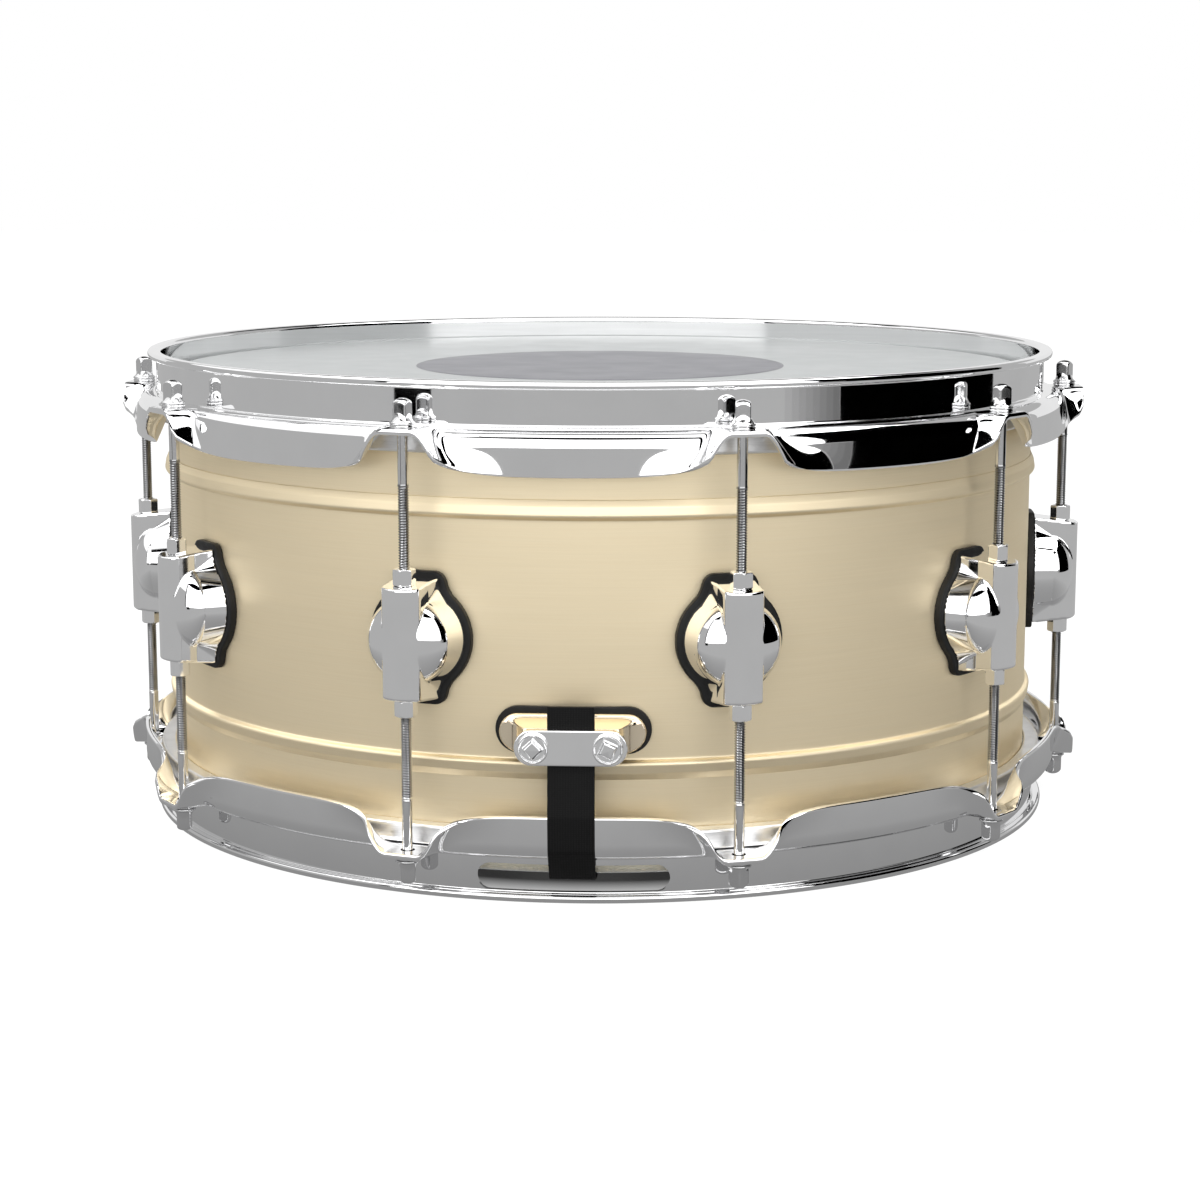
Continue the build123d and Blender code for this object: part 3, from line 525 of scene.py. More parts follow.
MATERIALS = {
    "shell_brass": brass(),
    "hoop_chrome": metal("hoop_chrome_plate", (0.90, 0.90, 0.905), (0.87, 0.87, 0.875), (0.02, 0.05)),
    "fitting_chrome": metal("fitting_chrome_plate", (0.91, 0.91, 0.915), (0.88, 0.88, 0.885), (0.02, 0.05)),
    "rod_steel": rod_steel(),
    "zinc_steel": metal(
        "zinc_plated_steel", (0.78, 0.78, 0.77), (0.68, 0.68, 0.68), (0.22, 0.34), 300, relief=0.1
    ),
    "snare_steel": metal("snare_wire_steel", (0.80, 0.80, 0.79), (0.72, 0.72, 0.71), (0.16, 0.24), 200),
    "flesh_hoop_aluminium": metal(
        "flesh_hoop_aluminium", (0.82, 0.82, 0.82), (0.74, 0.74, 0.74), (0.28, 0.38), 120, (1, 1, 20), 0.1
    ),
    "batter_film": film("batter_film_sheet", (0.43, 0.445, 0.445), (0.418, 0.433, 0.433), (0.34, 0.42)),
    "snare_side_film": film(
        "snare_side_film_sheet", (0.80, 0.82, 0.82), (0.76, 0.78, 0.78), (0.14, 0.20), 0.85
    ),
    "dot_film": film("dot_film_sheet", (0.215, 0.215, 0.232), (0.208, 0.208, 0.225), (0.36, 0.44)),
    "gasket_rubber": rubber("gasket_rubber_black"),
    "strap_nylon": webbing("strap_nylon_black"),
}

# The butt plate's casting is chromed in the record; here its chrome is tinted tan as a painted reflection.
BUTT_BASE_PAINTED_REFLECTION = metal("butt_base_painted_tan_reflection", (0.90, 0.78, 0.60), (0.86, 0.74, 0.56), (0.10, 0.16))

for part in frame["record"]["subparts"]:
    node = frame["nodes"][part["node"]]
    node.data.materials.clear()
    node.data.materials.append(MATERIALS[part["material_slot"]])


# Camera, floor and lights

CAMERA_AZIMUTH = math.radians(3.06)
CAMERA_DISTANCE = 1.0827
CAMERA_HEIGHT = 0.2643
CAMERA_DOWN = 9.73
CAMERA_LENS = 77.9

camera_data = bpy.data.cameras.new("camera")
camera_data.sensor_width = 36
camera_data.lens = CAMERA_LENS
camera = place("camera", camera_data)
bpy.context.scene.camera = camera
camera.location = around(CAMERA_DISTANCE, CAMERA_AZIMUTH, CAMERA_HEIGHT)
camera.rotation_euler = (math.radians(90 - CAMERA_DOWN), 0, CAMERA_AZIMUTH)
bpy.context.scene.view_settings.view_transform = "Standard"


def glowing(name, strength):
    """A white emitter."""
    material = bpy.data.materials.new(name)
    material.use_nodes = True
    tree = material.node_tree
    tree.nodes.remove(tree.nodes["Principled BSDF"])
    glow = tree.nodes.new("ShaderNodeEmission")
    glow.inputs["Color"].default_value = (1, 1, 1, 1)
    glow.inputs["Strength"].default_value = strength
    tree.links.new(glow.outputs[0], tree.nodes["Material Output"].inputs["Surface"])
    return material


def staged(name, points, faces, material, camera_only=False):
    """A studio surface in metres: seen only by the camera, or by everything but the camera."""
    mesh = bpy.data.meshes.new(name)
    mesh.from_pydata([tuple(p) for p in points], [], faces)
    mesh.materials.append(material)
    made = place(name, mesh)
    made.visible_camera = camera_only
    made.visible_glossy = not camera_only
    made.visible_diffuse = not camera_only
    made.visible_transmission = True
    made.visible_shadow = False
    return made


def card(name, azimuths, distance, heights, strength):
    """A curved studio card round the drum: a soft box above strength 0, black at 0."""
    steps = 12
    points = []
    for k in range(steps + 1):
        a = math.radians(azimuths[0] + (azimuths[1] - azimuths[0]) * k / steps)
        points += [around(distance, a, z) for z in heights]
    faces = [(2 * k, 2 * k + 2, 2 * k + 3, 2 * k + 1) for k in range(steps)]
    return staged(name, points, faces, glowing(name, strength))


def panel(name, x, y, z, strength):
    """A flat overhead panel over x and y ranges at one height."""
    points = [(x[0], y[0], z), (x[1], y[0], z), (x[1], y[1], z), (x[0], y[1], z)]
    return staged(name, points, [(0, 1, 2, 3)], glowing(name, strength))


def square(half, z):
    """A level square's points and faces, in metres."""
    return [(-half, -half, z), (half, -half, z), (half, half, z), (-half, half, z)], [(0, 1, 2, 3)]


def radial_strength(tree, socket, near, far):
    """Feeds a strength that runs between two (radius, value) pairs around the drum's axis."""
    where = tree.nodes.new("ShaderNodeTexCoord")
    reach = tree.nodes.new("ShaderNodeVectorMath")
    reach.operation = "LENGTH"
    tree.links.new(where.outputs["Object"], reach.inputs[0])
    fade = tree.nodes.new("ShaderNodeMapRange")
    fade.inputs["From Min"].default_value, fade.inputs["To Min"].default_value = near
    fade.inputs["From Max"].default_value, fade.inputs["To Max"].default_value = far
    tree.links.new(reach.outputs["Value"], fade.inputs["Value"])
    tree.links.new(fade.outputs["Result"], socket)


STUDIO_GREY = 0.46
FLOOR_HALF = 8
BACKDROP_RADIUS = 9
CARD_DISTANCE = 2.2
CEILING = 2.5
FRAME_HEIGHTS = (0.09, CEILING)
FADE_STEPS = 8
FADE_START = 45
FADE_SPAN = 14


def studio_world():
    """An even grey surround."""
    world = bpy.data.worlds.new("studio")
    bpy.context.scene.world = world
    world.use_nodes = True
    background = world.node_tree.nodes["Background"]
    background.inputs["Color"].default_value = (1, 1, 1, 1)
    background.inputs["Strength"].default_value = STUDIO_GREY


def studio_floor():
    """A grey floor for reflections and a pale one for the camera, both with a painted shadow under and near
    the drum, and a white dome.
    """
    grey = glowing("floor_grey", STUDIO_GREY)
    grey_strength = grey.node_tree.nodes["Emission"].inputs["Strength"]
    # Painted shadow: the reflected floor's glow is dimmed near the drum, standing in for its contact shadow.
    radial_strength(grey.node_tree, grey_strength, (0.19, 0.29), (0.40, STUDIO_GREY))
    staged("floor_reflected", *square(FLOOR_HALF, -0.001), grey)
    pale, tree, shader = nodes_of("floor_pale")
    shader.inputs["Base Color"].default_value = (0.14, 0.14, 0.14, 1)
    shader.inputs["Roughness"].default_value = 0.9
    shader.inputs["Specular IOR Level"].default_value = 0.0
    shader.inputs["Emission Color"].default_value = (1, 1, 1, 1)
    # Painted shadow: the pale floor's glow drops to almost nothing under the drum, standing in for the shade
    # beneath it.
    radial_strength(tree, shader.inputs["Emission Strength"], (0.155, 0.02), (0.186, 0.94))
    staged("floor", *square(FLOOR_HALF, 0), pale, camera_only=True)
    slopes = np.linspace(-0.1, math.pi / 2, 16)
    dome = [(BACKDROP_RADIUS * math.cos(a), BACKDROP_RADIUS * math.sin(a)) for a in slopes]
    staged("backdrop", *lathe(dome, 48, closed=False), glowing("backdrop_white", 1.0), camera_only=True)


def studio_cards():
    """The soft boxes and black flags that the chrome reflects."""
    card("soft_box_front", (-47, 54.5), CARD_DISTANCE, FRAME_HEIGHTS, 2.15)
    card("frame_left", (-50, -47), CARD_DISTANCE, FRAME_HEIGHTS, 0.0)
    card("frame_right", (54.5, 64), CARD_DISTANCE, FRAME_HEIGHTS, 0.0)
    card("flag_low_left", (-44.7, -35.5), 1.3, (0.0, 0.095), 0.0)
    card("flag_right", (59, 111.5), 1.1, (0.0, 1.5), 0.0)
    step = FADE_SPAN / FADE_STEPS
    for k in range(FADE_STEPS):
        start = FADE_START + FADE_SPAN * k / FADE_STEPS
        strength = 0.45 - 0.29 * ((k + 0.5) / FADE_STEPS) ** 0.8
        card(f"flag_right_edge_{k}", (start, start + step), 1.12, (0.0, 0.12), strength)
    card("soft_box_left", (-150, -51), CARD_DISTANCE, (1.2, CEILING), 1.2)
    card("soft_box_back", (130, 230), CARD_DISTANCE, (0.12, 0.8), 0.85)


def studio_ceiling():
    """Overhead soft boxes with black gaps between them."""
    gap, box = (-1.7, 1.7), (-0.9, 0.9)
    panel("ceiling_gap_front", gap, (-2.25, -1.30), CEILING, 0.0)
    panel("ceiling_box_front", box, (-1.30, -0.32), CEILING, 1.9)
    panel("ceiling_gap_middle", box, (-0.32, 0.05), CEILING, 0.0)
    panel("ceiling_box_back", box, (0.05, 1.0), CEILING, 1.9)
    panel("ceiling_gap_back", gap, (1.0, 3.6), CEILING, 0.0)
    panel("ceiling_box_left", (-2.4, -0.95), (-1.3, 1.0), CEILING, 4.2)
    panel("ceiling_box_right", (0.95, 2.4), (-1.3, 1.0), CEILING, 4.2)


studio_world()
studio_floor()
studio_cards()
studio_ceiling()


# Hoops

FLANGE_START = 184.6
FLANGE_BEND_RADIUS = 6.0
FULL_BEND = 89.5
SKIRT_DROP = SKIRT_DEPTH - SHOULDER_DEPTH
COLLAR_FOOT = COLLAR_RADIUS + 0.75
EAR_HALF_FLAT = 6.0
RIM_RADIUS = 195
ROD_HOLE_RADIUS = 2.6


def past_ear(along):
    """How far along the rim a place lies past the flat of its ear."""
    return max(abs(along) - EAR_HALF_FLAT, 0.0)


def growth(along, length, power):
    """0 on the flat of an ear, rising to 1 with the distance along the rim from the ear's middle."""
    return 1 - math.exp(-((past_ear(along) / length) ** power))


def flange_drop(along):
    """How far the hoop's edge hangs below its shoulder, at a distance along the rim from an ear's middle."""
    t = past_ear(along) / 8.0
    return SKIRT_DROP * (1 - math.exp(-1.05 * t * t / math.sqrt(t * t + 0.4)))


def flange_line(along):
    """The flange's outer side at one place, as (radius, height, heading): flat, bent, then run out."""
    first = math.radians(FULL_BEND * growth(along, 8.0, 2.2))
    last = math.radians(FULL_BEND * growth(along, 15.0, 1.8))
    shoulder = DRUM_HEIGHT - SHOULDER_DEPTH
    line = [(COLLAR_FOOT, shoulder, 0.0)]
    arc_steps, run_steps = 10, 12
    for k in range(arc_steps + 1):
        a = first * k / arc_steps
        r = FLANGE_START + FLANGE_BEND_RADIUS * math.sin(a)
        line.append((r, shoulder - FLANGE_BEND_RADIUS * (1 - math.cos(a)), a))
    r, z, _ = line[-1]
    slope = (first + last) / 2
    drop = max(flange_drop(along) - (shoulder - z), 0.0)
    run = (EAR_RADIUS - r) / math.cos(slope)
    if slope > 0.05:
        run = min(run, drop / math.sin(slope))
    for k in range(run_steps):
        heading = first + (k + 0.5) / run_steps * (last - first)
        r += run / run_steps * math.cos(heading)
        z -= run / run_steps * math.sin(heading)
        line.append((r, z, first + (k + 1) / run_steps * (last - first)))
    return line


def hoop_section(along):
    """The hoop's closed section at one place, as (radius, height), outer side down and inner side up."""
    top = DRUM_HEIGHT
    inside = COLLAR_RADIUS - HOOP_SHEET
    upper = rounded(
        [
            (inside, top - SHOULDER_DEPTH - HOOP_SHEET + 0.4, 0),
            (inside, top, 1.6),
            (LIP_RADIUS, top, 1.25),
            (LIP_RADIUS, top - LIP_DEPTH, 1.25),
            (COLLAR_RADIUS, top - LIP_DEPTH, 0.5),
            (COLLAR_RADIUS, top - SHOULDER_DEPTH, 0.7),
            (COLLAR_FOOT, top - SHOULDER_DEPTH, 0),
        ],
        5,
    )
    line = flange_line(along)
    outer = [(r, z) for r, z, _ in line[1:]]
    inner = [(r - HOOP_SHEET * math.sin(h), z - HOOP_SHEET * math.cos(h)) for r, z, h in line]
    end_r, end_z, heading = line[-1]
    tip = np.array((end_r, end_z))
    forward = np.array((math.cos(heading), -math.sin(heading)))
    inward = np.array((-math.sin(heading), -math.cos(heading)))
    edge_depth, edge_steps = 0.55, 6
    edge = []
    for k in range(edge_steps + 1):
        t = math.pi * k / edge_steps
        across = inward * HOOP_SHEET / 2 * (1 - math.cos(t))
        edge.append(tuple(tip - forward * edge_depth * (1 - math.sin(t) ** 0.6) + across))
    return held(upper) + outer[:-1] + edge + inner[-2::-1]


def hoop_mesh():
    """The batter hoop: its section swept round the drum, changing between the ears' flats and the skirts."""
    columns = 800
    rings = []
    for k in range(columns):
        angle = 360 * k / columns
        offset = angle % LUG_PITCH - LUG_PITCH / 2
        section = hoop_section(math.radians(offset) * RIM_RADIUS)
        rings.append([around(r, math.radians(angle), z) for r, z in section])
    faces = grid_faces(columns, len(rings[0]), closed_rows=True, closed_columns=True)
    return np.concatenate(rings), faces


def cut(made, cutter):
    """Cuts one closed object out of another and drops the cutter."""
    modifier = made.modifiers.new("cut", "BOOLEAN")
    modifier.operation = "DIFFERENCE"
    modifier.solver = "EXACT"
    modifier.object = cutter
    depsgraph = bpy.context.evaluated_depsgraph_get()
    mesh = bpy.data.meshes.new_from_object(made.evaluated_get(depsgraph))
    made.modifiers.clear()
    made.data = mesh
    bpy.data.objects.remove(cutter)
    mesh.set_sharp_from_angle(angle=math.radians(35))
    return made


def rod_holes():
    """A cutter for each tension rod's hole in an ear."""
    ring = circle(ROD_HOLE_RADIUS)
    tube = [(ROD_CIRCLE + x, y, z) for z in (165.0, 175.0) for x, y in ring]
    return [(turned(tube, angle), tube_faces(2, len(ring))) for angle in LUG_ANGLES]


def strap_gates():
    """Cutters for the two slots in the snare side hoop that the straps pass through."""
    width, low, high = GATE
    corner = (high - low) / 2 * 0.999
    outline = rounded_rectangle((-width / 2, width / 2), (low, high), corner, 10)
    points, faces = prism(outline, 174.0, 188.0)
    return [(turned(points, angle), faces) for angle in (0, 180)]


def drum_hoop(name, node, snare_side):
    """A hoop with its rod holes; the one on the snare side has the straps' gates too."""
    points, faces = hoop_mesh()
    holes = rod_holes()
    if snare_side:
        points, faces = mirrored(points, faces)
        holes = [mirrored(*hole) for hole in holes] + strap_gates()
    made = make_object(name, points, faces, sharp=35)
    cut(made, make_object(name + "_holes", *join(holes)))
    ride(made, "drum", "hoop_chrome", node)


drum_hoop("batter_hoop_flanged", "batter_hoop", False)
drum_hoop("snare_side_hoop_flanged", "snare_side_hoop", True)


# Shell and heads

EDGE_CENTRE = SHELL_RADIUS - EDGE_RADIUS
EDGE_TURN_IN = 4.2 * math.sqrt(0.5)


def shell_side(offset):
    """The wall at an offset inwards, its two beads crisp towards the ends and soft towards the middle."""
    r = SHELL_RADIUS - offset
    upper = rounded(
        [
            (r, 136.2, 0),
            (r, 137.5, 0.7),
            (r + 2.1, 138.5, 1.3),
            (r + 1.5, 142.2, 3.0),
            (r + 0.35, 144.75, 0.2),
            (r, 144.8, 0),
        ],
        6,
    )
    lower = [(x, 2 * SHELL_MIDDLE - z) for x, z in reversed(upper)]
    return [(r, EDGE_HEIGHT), *lower, *upper, (r, DRUM_HEIGHT - EDGE_HEIGHT)]


def bearing_edge(centre, up):
    """An end of the wall, rolled over and turned in: its outer points, then its inner ones."""
    roll_steps, roll_degrees = 12, 135
    outer, inner = [], []
    for k in range(roll_steps + 1):
        a = math.radians(roll_degrees * k / roll_steps)
        for radius, points in ((EDGE_RADIUS, outer), (EDGE_RADIUS - SHELL_WALL, inner)):
            points.append((EDGE_CENTRE + radius * math.cos(a), centre + up * radius * math.sin(a)))
    for points in (outer, inner):
        points.append((points[-1][0] - EDGE_TURN_IN, points[-1][1] - up * EDGE_TURN_IN))
    return outer, inner


def shell_profile():
    """The shell's closed section."""
    high_outer, high_inner = bearing_edge(DRUM_HEIGHT - EDGE_HEIGHT, 1)
    low_outer, low_inner = bearing_edge(EDGE_HEIGHT, -1)
    up_outside = shell_side(0) + high_outer[1:]
    down_inside = high_inner[:0:-1] + shell_side(SHELL_WALL)[::-1]
    return held(up_outside + down_inside + low_inner[1:] + low_outer[:0:-1])


def head_profile():
    """The batter film: flat, over the bearing edge with a small radius, and down into its flesh hoop."""
    top = DRUM_HEIGHT - HEAD_RECESS
    roll_radius = 3.29
    thickness, wall = 0.24, 0.22
    flat_radii = (20, 60, 100, 140, 165, 172)
    side = EDGE_CENTRE + roll_radius
    side_heights = (170.0, 162.0)
    over = []
    for degrees in range(0, 91, 9):
        a = math.radians(degrees)
        over.append((EDGE_CENTRE + roll_radius * math.sin(a), top - 3.3 + roll_radius * math.cos(a)))
    over = [(r, top) for r in flat_radii] + over + [(side, z) for z in side_heights]
    under = [(side - wall, z) for z in reversed(side_heights)]
    for degrees in range(90, -1, -9):
        a = math.radians(degrees)
        r = EDGE_CENTRE + (roll_radius - wall) * math.sin(a)
        under.append((r, top - 3.3 + roll_radius * math.cos(a) - thickness))
    return held(over + under + [(r, top - thickness) for r in reversed(flat_radii)])


def disc(profile, segments):
    """A surface of revolution whose first and last points close at the axis."""
    points, faces = lathe(profile, segments, closed=False)
    n = len(profile)
    points = np.concatenate([points, [(0, 0, profile[0][1]), (0, 0, profile[-1][1])]])
    first, last = n * segments, n * segments + 1
    for k in range(segments):
        here, following = k * n, (k + 1) % segments * n
        faces += [(following, first, here), (here + n - 1, last, following + n - 1)]
    return points, faces


def drum_shell():
    points, faces = lathe(shell_profile(), 360)
    made = make_object("shell_beaded", points, faces, sharp=40)
    hole_points, hole_faces = prism(circle(VENT_RADIUS, 0, LUG_HEIGHT), 170.0, 184.0)
    cut(made, make_object("vent_hole", turned(hole_points, VENT_ANGLE), hole_faces))
    ride(made, "drum", "shell_brass", "shell")


def both_sides(points, faces, batter, snare_side):
    """A turned piece of the batter side and its mirror image, each with its name, slot and CAD node."""
    sides = ((batter, points, faces), (snare_side, *mirrored(points, faces)))
    for (name, slot, node), side_points, side_faces in sides:
        ride(make_object(name, side_points, side_faces, sharp=40), "drum", slot, node)


def head_sheets():
    batter = ("batter_head_sheet", "batter_film", "batter_head_film")
    snare_side = ("snare_side_head_sheet", "snare_side_film", "snare_side_head_film")
    both_sides(*disc(head_profile(), 240), batter, snare_side)


def head_dot():
    """The centre dot: a thin patch with a soft edge, just above the batter film."""
    top = DRUM_HEIGHT - HEAD_RECESS + 0.19
    profile = [(r, top) for r in (20, 45, 65, DOT_RADIUS - 3)]
    profile += [(DOT_RADIUS - 0.3, top - 0.04), (DOT_RADIUS, top - 0.14), (DOT_RADIUS - 0.3, top - 0.18)]
    made = make_object("batter_head_dot_patch", *disc(profile, 180), sharp=60)
    ride(made, "drum", "dot_film", "batter_head_dot")


def flesh_hoops():
    inside, outside = FLESH_HOOP_RADII
    top = DRUM_HEIGHT - FLESH_HOOP_DEPTH
    bottom = top - FLESH_HOOP_HEIGHT
    corners = [(inside, top, 0.8), (outside, top, 1.1), (outside, bottom, 1.1), (inside, bottom, 0.8)]
    points, faces = lathe(held(rounded(corners, 6, closed=True)), 240)
    batter = ("batter_flesh_ring", "flesh_hoop_aluminium", "batter_flesh_hoop")
    snare_side = ("snare_side_flesh_ring", "flesh_hoop_aluminium", "snare_side_flesh_hoop")
    both_sides(points, faces, batter, snare_side)


drum_shell()
head_sheets()
head_dot()
flesh_hoops()


# Lugs

LUG_FACE = 199.3
DOME_START = 188.0
NUT_MIDDLE = 23.6


def on_shell(p):
    """The distance from the drum's axis."""
    return np.hypot(p[:, 0], p[:, 1])


def lug_field(p):
    """A die-cast lug: it widens to the shell, with a domed boss and an upright, round-faced column."""
    x, y, z = p.T
    across = np.hypot(y, z)
    taper = np.clip((DOME_START - x) / 7.0, 0, 1.1)
    boss_radius, dome_depth = 16.1, 10.0
    reach = np.maximum(x - DOME_START, 0) / dome_depth
    ratio = np.hypot(reach, across / boss_radius)
    slope = np.hypot(reach / dome_depth, across / boss_radius**2)
    dome = ratio * (ratio - 1) / np.maximum(slope, 1e-6)
    cone = (across - boss_radius - 1.6 * taper) * 0.95
    boss = np.where(x > DOME_START, dome, cone)
    face_radius, half_width, half_height = 9.97, 7.5, 20.0
    front = np.hypot(x - (LUG_FACE - face_radius), y) - face_radius
    front = np.where(x > LUG_FACE - face_radius, front, -9.0)
    draft = 2.1 * np.clip((199.0 - x) / 18.0, 0, 1.05)
    body = round_max(front, (np.abs(y) - half_width - 0.8 * taper) * 0.97, 0.9)
    upper_end = round_max(body, (z - half_height - draft) * 0.98, 0.7)
    column = round_max(upper_end, (-z - half_height - draft) * 0.98, 1.0)
    bore = np.hypot(x - ROD_CIRCLE, y) - 3.3
    solid = round_max(smooth_min(boss, column, 0.5 + 3.5 * taper), -bore, 0.35)
    return round_max(solid, LUG_SEAT + 0.02 - on_shell(p), 0.3)


def gasket_field(p):
    """The pad between lug and shell, with the lug's outline and a margin."""
    x, y, z = p.T
    outline = smooth_min(np.hypot(y, z) - 19.8, box2(y, z, 10.3, 24.2, 4.5), 4.0)
    return round_max(outline, slab(on_shell(p), SHELL_RADIUS + 1.51, 1.47), 0.5)


def hexagon(x, y, across_flats):
    sides = [np.abs(x * math.cos(a) + y * math.sin(a)) for a in (math.pi / 6, math.pi / 2, math.pi * 5 / 6)]
    return np.max(sides, 0) - across_flats / 2


def nut_field(p):
    """The swivel nut's hexagon with turned-down ends, its collar and its neck in the lug."""
    x, y, z = p.T
    r = np.hypot(x - ROD_CIRCLE, y)
    flats = round_max(hexagon(x - ROD_CIRCLE, y, 7.2), slab(z, NUT_MIDDLE, 3.0), 0.12)
    chamfer = r * 0.6 + np.abs(z - NUT_MIDDLE) * 0.8 - 4.6
    head = smooth_max(flats, chamfer, 0.15)
    collar = round_max(r - 2.9, slab(z, 26.4, 0.45), 0.12)
    neck = round_max(r - 3.15, slab(z, 16.5, 4.5), 0.2)
    solid = smooth_min(smooth_min(head, neck, 0.1), collar, 0.1)
    return np.maximum(solid, 2.12 - r)


def washer_field(p):
    """The washer between a rod's flange and its ear."""
    x, y, z = p.T
    r = np.hypot(x - ROD_CIRCLE, y)
    return np.maximum(round_max(r - 4.5, slab(z, 171.05, 0.54), 0.35), 2.25 - r)


def key_head_field(p):
    """A tension rod's head: a domed square that flares into a round flange."""
    x, y, z = p.T
    x = x - ROD_CIRCLE
    r = np.hypot(x, y)
    flange = round_max(r - 4.6, slab(z, ROD_SEAT - 0.04, 0.46), 0.38)
    cone = np.maximum(r * 0.82 + (z - ROD_SEAT - 0.4) * 0.57 - 3.35, ROD_SEAT - z)
    square = round_max(box2(x, y, 2.7, 2.7, 0.55), np.hypot(r, z - ROD_SEAT - 3.9) - 4.75, 0.35)
    square = np.maximum(square, ROD_SEAT - z)
    return smooth_min(smooth_min(square, cone, 0.7), flange, 0.35)


def at_every_lug(name, pattern, slot, node):
    """Ten numbered pieces of one meshed field, one at each lug."""
    mesh = make_mesh(name, *pattern)
    for number, angle in enumerate(LUG_ANGLES, start=1):
        made = place(f"{name}_{number:02d}", mesh)
        made.matrix_world = turn(angle)
        ride(made, "drum", slot, node)


def raised(pattern):
    """A meshed field moved up to the height of the lugs."""
    points, faces, normals = pattern
    return points + (0, 0, LUG_HEIGHT), faces, normals


def lug_pieces():
    lug = field_mesh(lug_field, (179.9, -18.6, -21.8), (200.2, 18.6, 21.8), 0.55)
    at_every_lug("lug_casing", raised(lug), "fitting_chrome", "lug_casings")
    gasket = field_mesh(gasket_field, (174.6, -21.4, -25.2), (181.8, 21.4, 25.2), 0.7)
    at_every_lug("lug_gasket", raised(gasket), "gasket_rubber", "lug_gaskets")
    nut = raised(field_mesh(nut_field, (187.0, -5.0, 11.0), (197.0, 5.0, 28.0), 0.36))
    washer = field_mesh(washer_field, (186.8, -5.2, 170.0), (197.2, 5.2, 172.1), 0.36)
    at_every_lug("upper_swivel_nut", nut, "fitting_chrome", "upper_swivel_nuts")
    at_every_lug("upper_rod_washer", washer, "rod_steel", "upper_rod_washers")
    lower_nut = turned_over(nut, 2 * LUG_HEIGHT)
    at_every_lug("lower_swivel_nut", lower_nut, "fitting_chrome", "lower_swivel_nuts")
    at_every_lug("lower_rod_washer", turned_over(washer, DRUM_HEIGHT), "rod_steel", "lower_rod_washers")


# Tension rods

THREAD_PITCH = 0.95
THREAD_DEPTH = 0.42
THREAD_RADIUS = 2.05
THREAD_TOP = 150.1
THREAD_RUN_OUT = 0.8
ROD_END = 102.0


def thread_depth(z):
    """The depth of the groove at one height: it runs out at both ends of the thread."""
    fade_up = min(1, max(0, (THREAD_TOP - z) / THREAD_RUN_OUT))
    fade_down = min(1, (z - ROD_END) / THREAD_RUN_OUT + 0.2)
    return THREAD_DEPTH * fade_up * fade_down


def threaded_shank():
    """The rod below its flange: a plain shank and a helical thread, both around the rod's own axis."""
    steps_per_turn, steps_around = 6, 24
    count = int((THREAD_TOP - ROD_END) / THREAD_PITCH * steps_per_turn)
    heights = [*np.linspace(ROD_END, THREAD_TOP, count), 150.4, 150.7, 151.0, 160.0, 170.0, ROD_SEAT]
    points = []
    for z in heights:
        shank_relief = 0.1 if z > THREAD_TOP else 0
        for k in range(steps_around):
            a = 2 * math.pi * k / steps_around
            wave = abs(((z / THREAD_PITCH - k / steps_around) % 1) * 2 - 1)
            r = THREAD_RADIUS - thread_depth(z) * (1 - wave) - shank_relief
            points.append((ROD_CIRCLE + r * math.cos(a), r * math.sin(a), z))
    return np.array(points), tube_faces(len(heights), steps_around)


def rod_pieces():
    head_points, head_faces, _ = field_mesh(key_head_field, (186.8, -5.2, 171.2), (197.2, 5.2, 181.6), 0.3)
    shank = threaded_shank()
    generator = np.random.default_rng(14)
    for number, angle in enumerate(LUG_ANGLES, start=1):
        for end in ("upper", "lower"):
            twist = generator.uniform(0, 90)
            head = rotated(head_points - (ROD_CIRCLE, 0, 0), twist) + (ROD_CIRCLE, 0, 0)
            points, faces = join([(head, head_faces), shank])
            if end == "lower":
                points, faces = mirrored(points, faces)
            name = f"{end}_rod_{number:02d}"
            made = make_object(name + "_threaded", turned(points, angle), faces, sharp=50)
            ride(made, name, "rod_steel", name)


lug_pieces()
rod_pieces()


# Butt plate

BASE_HEIGHT = 62.2
CLAMP_HEIGHT = 59.0
CLAMP_SCREW_OFFSET = 13.2


def slot_outline(y, z, length, height):
    """A lying slot with round ends."""
    return np.hypot(np.maximum(np.abs(y) - (length - height) / 2, 0), z) - height / 2


def butt_base_field(p):
    """The butt plate's casting: a rim on the gasket that sweeps up to a flat boss behind the clamp."""
    x, y, z = p.T
    z = z - BASE_HEIGHT
    along = np.maximum(np.abs(y) - 17.0, 0) / 8.4
    up = np.maximum(z - 3.2, 0) / 3.0
    away = np.clip(np.hypot(along, up), 0, 1)
    top = 183.0 + 8.2 * (1 - away) ** 2.0
    outline = slot_outline(y, z, 52.4, 13.4)
    solid = round_max(outline, (x - top) * 0.62, 0.5)
    return np.maximum(solid, 179.83 - on_shell(p))


def butt_gasket_field(p):
    """The pad between the casting and the shell."""
    x, y, z = p.T
    sheet = slab(on_shell(p), SHELL_RADIUS + 1.0, 0.98)
    return round_max(slot_outline(y, z - BASE_HEIGHT, 56.0, 17.2), sheet, 0.4)


def butt_clamp_field(p):
    """The bar that clamps the strap."""
    x, y, z = p.T
    return round_max(slot_outline(y, z - CLAMP_HEIGHT, 40.2, 12.9), slab(x, 193.2, 1.19), 0.45)


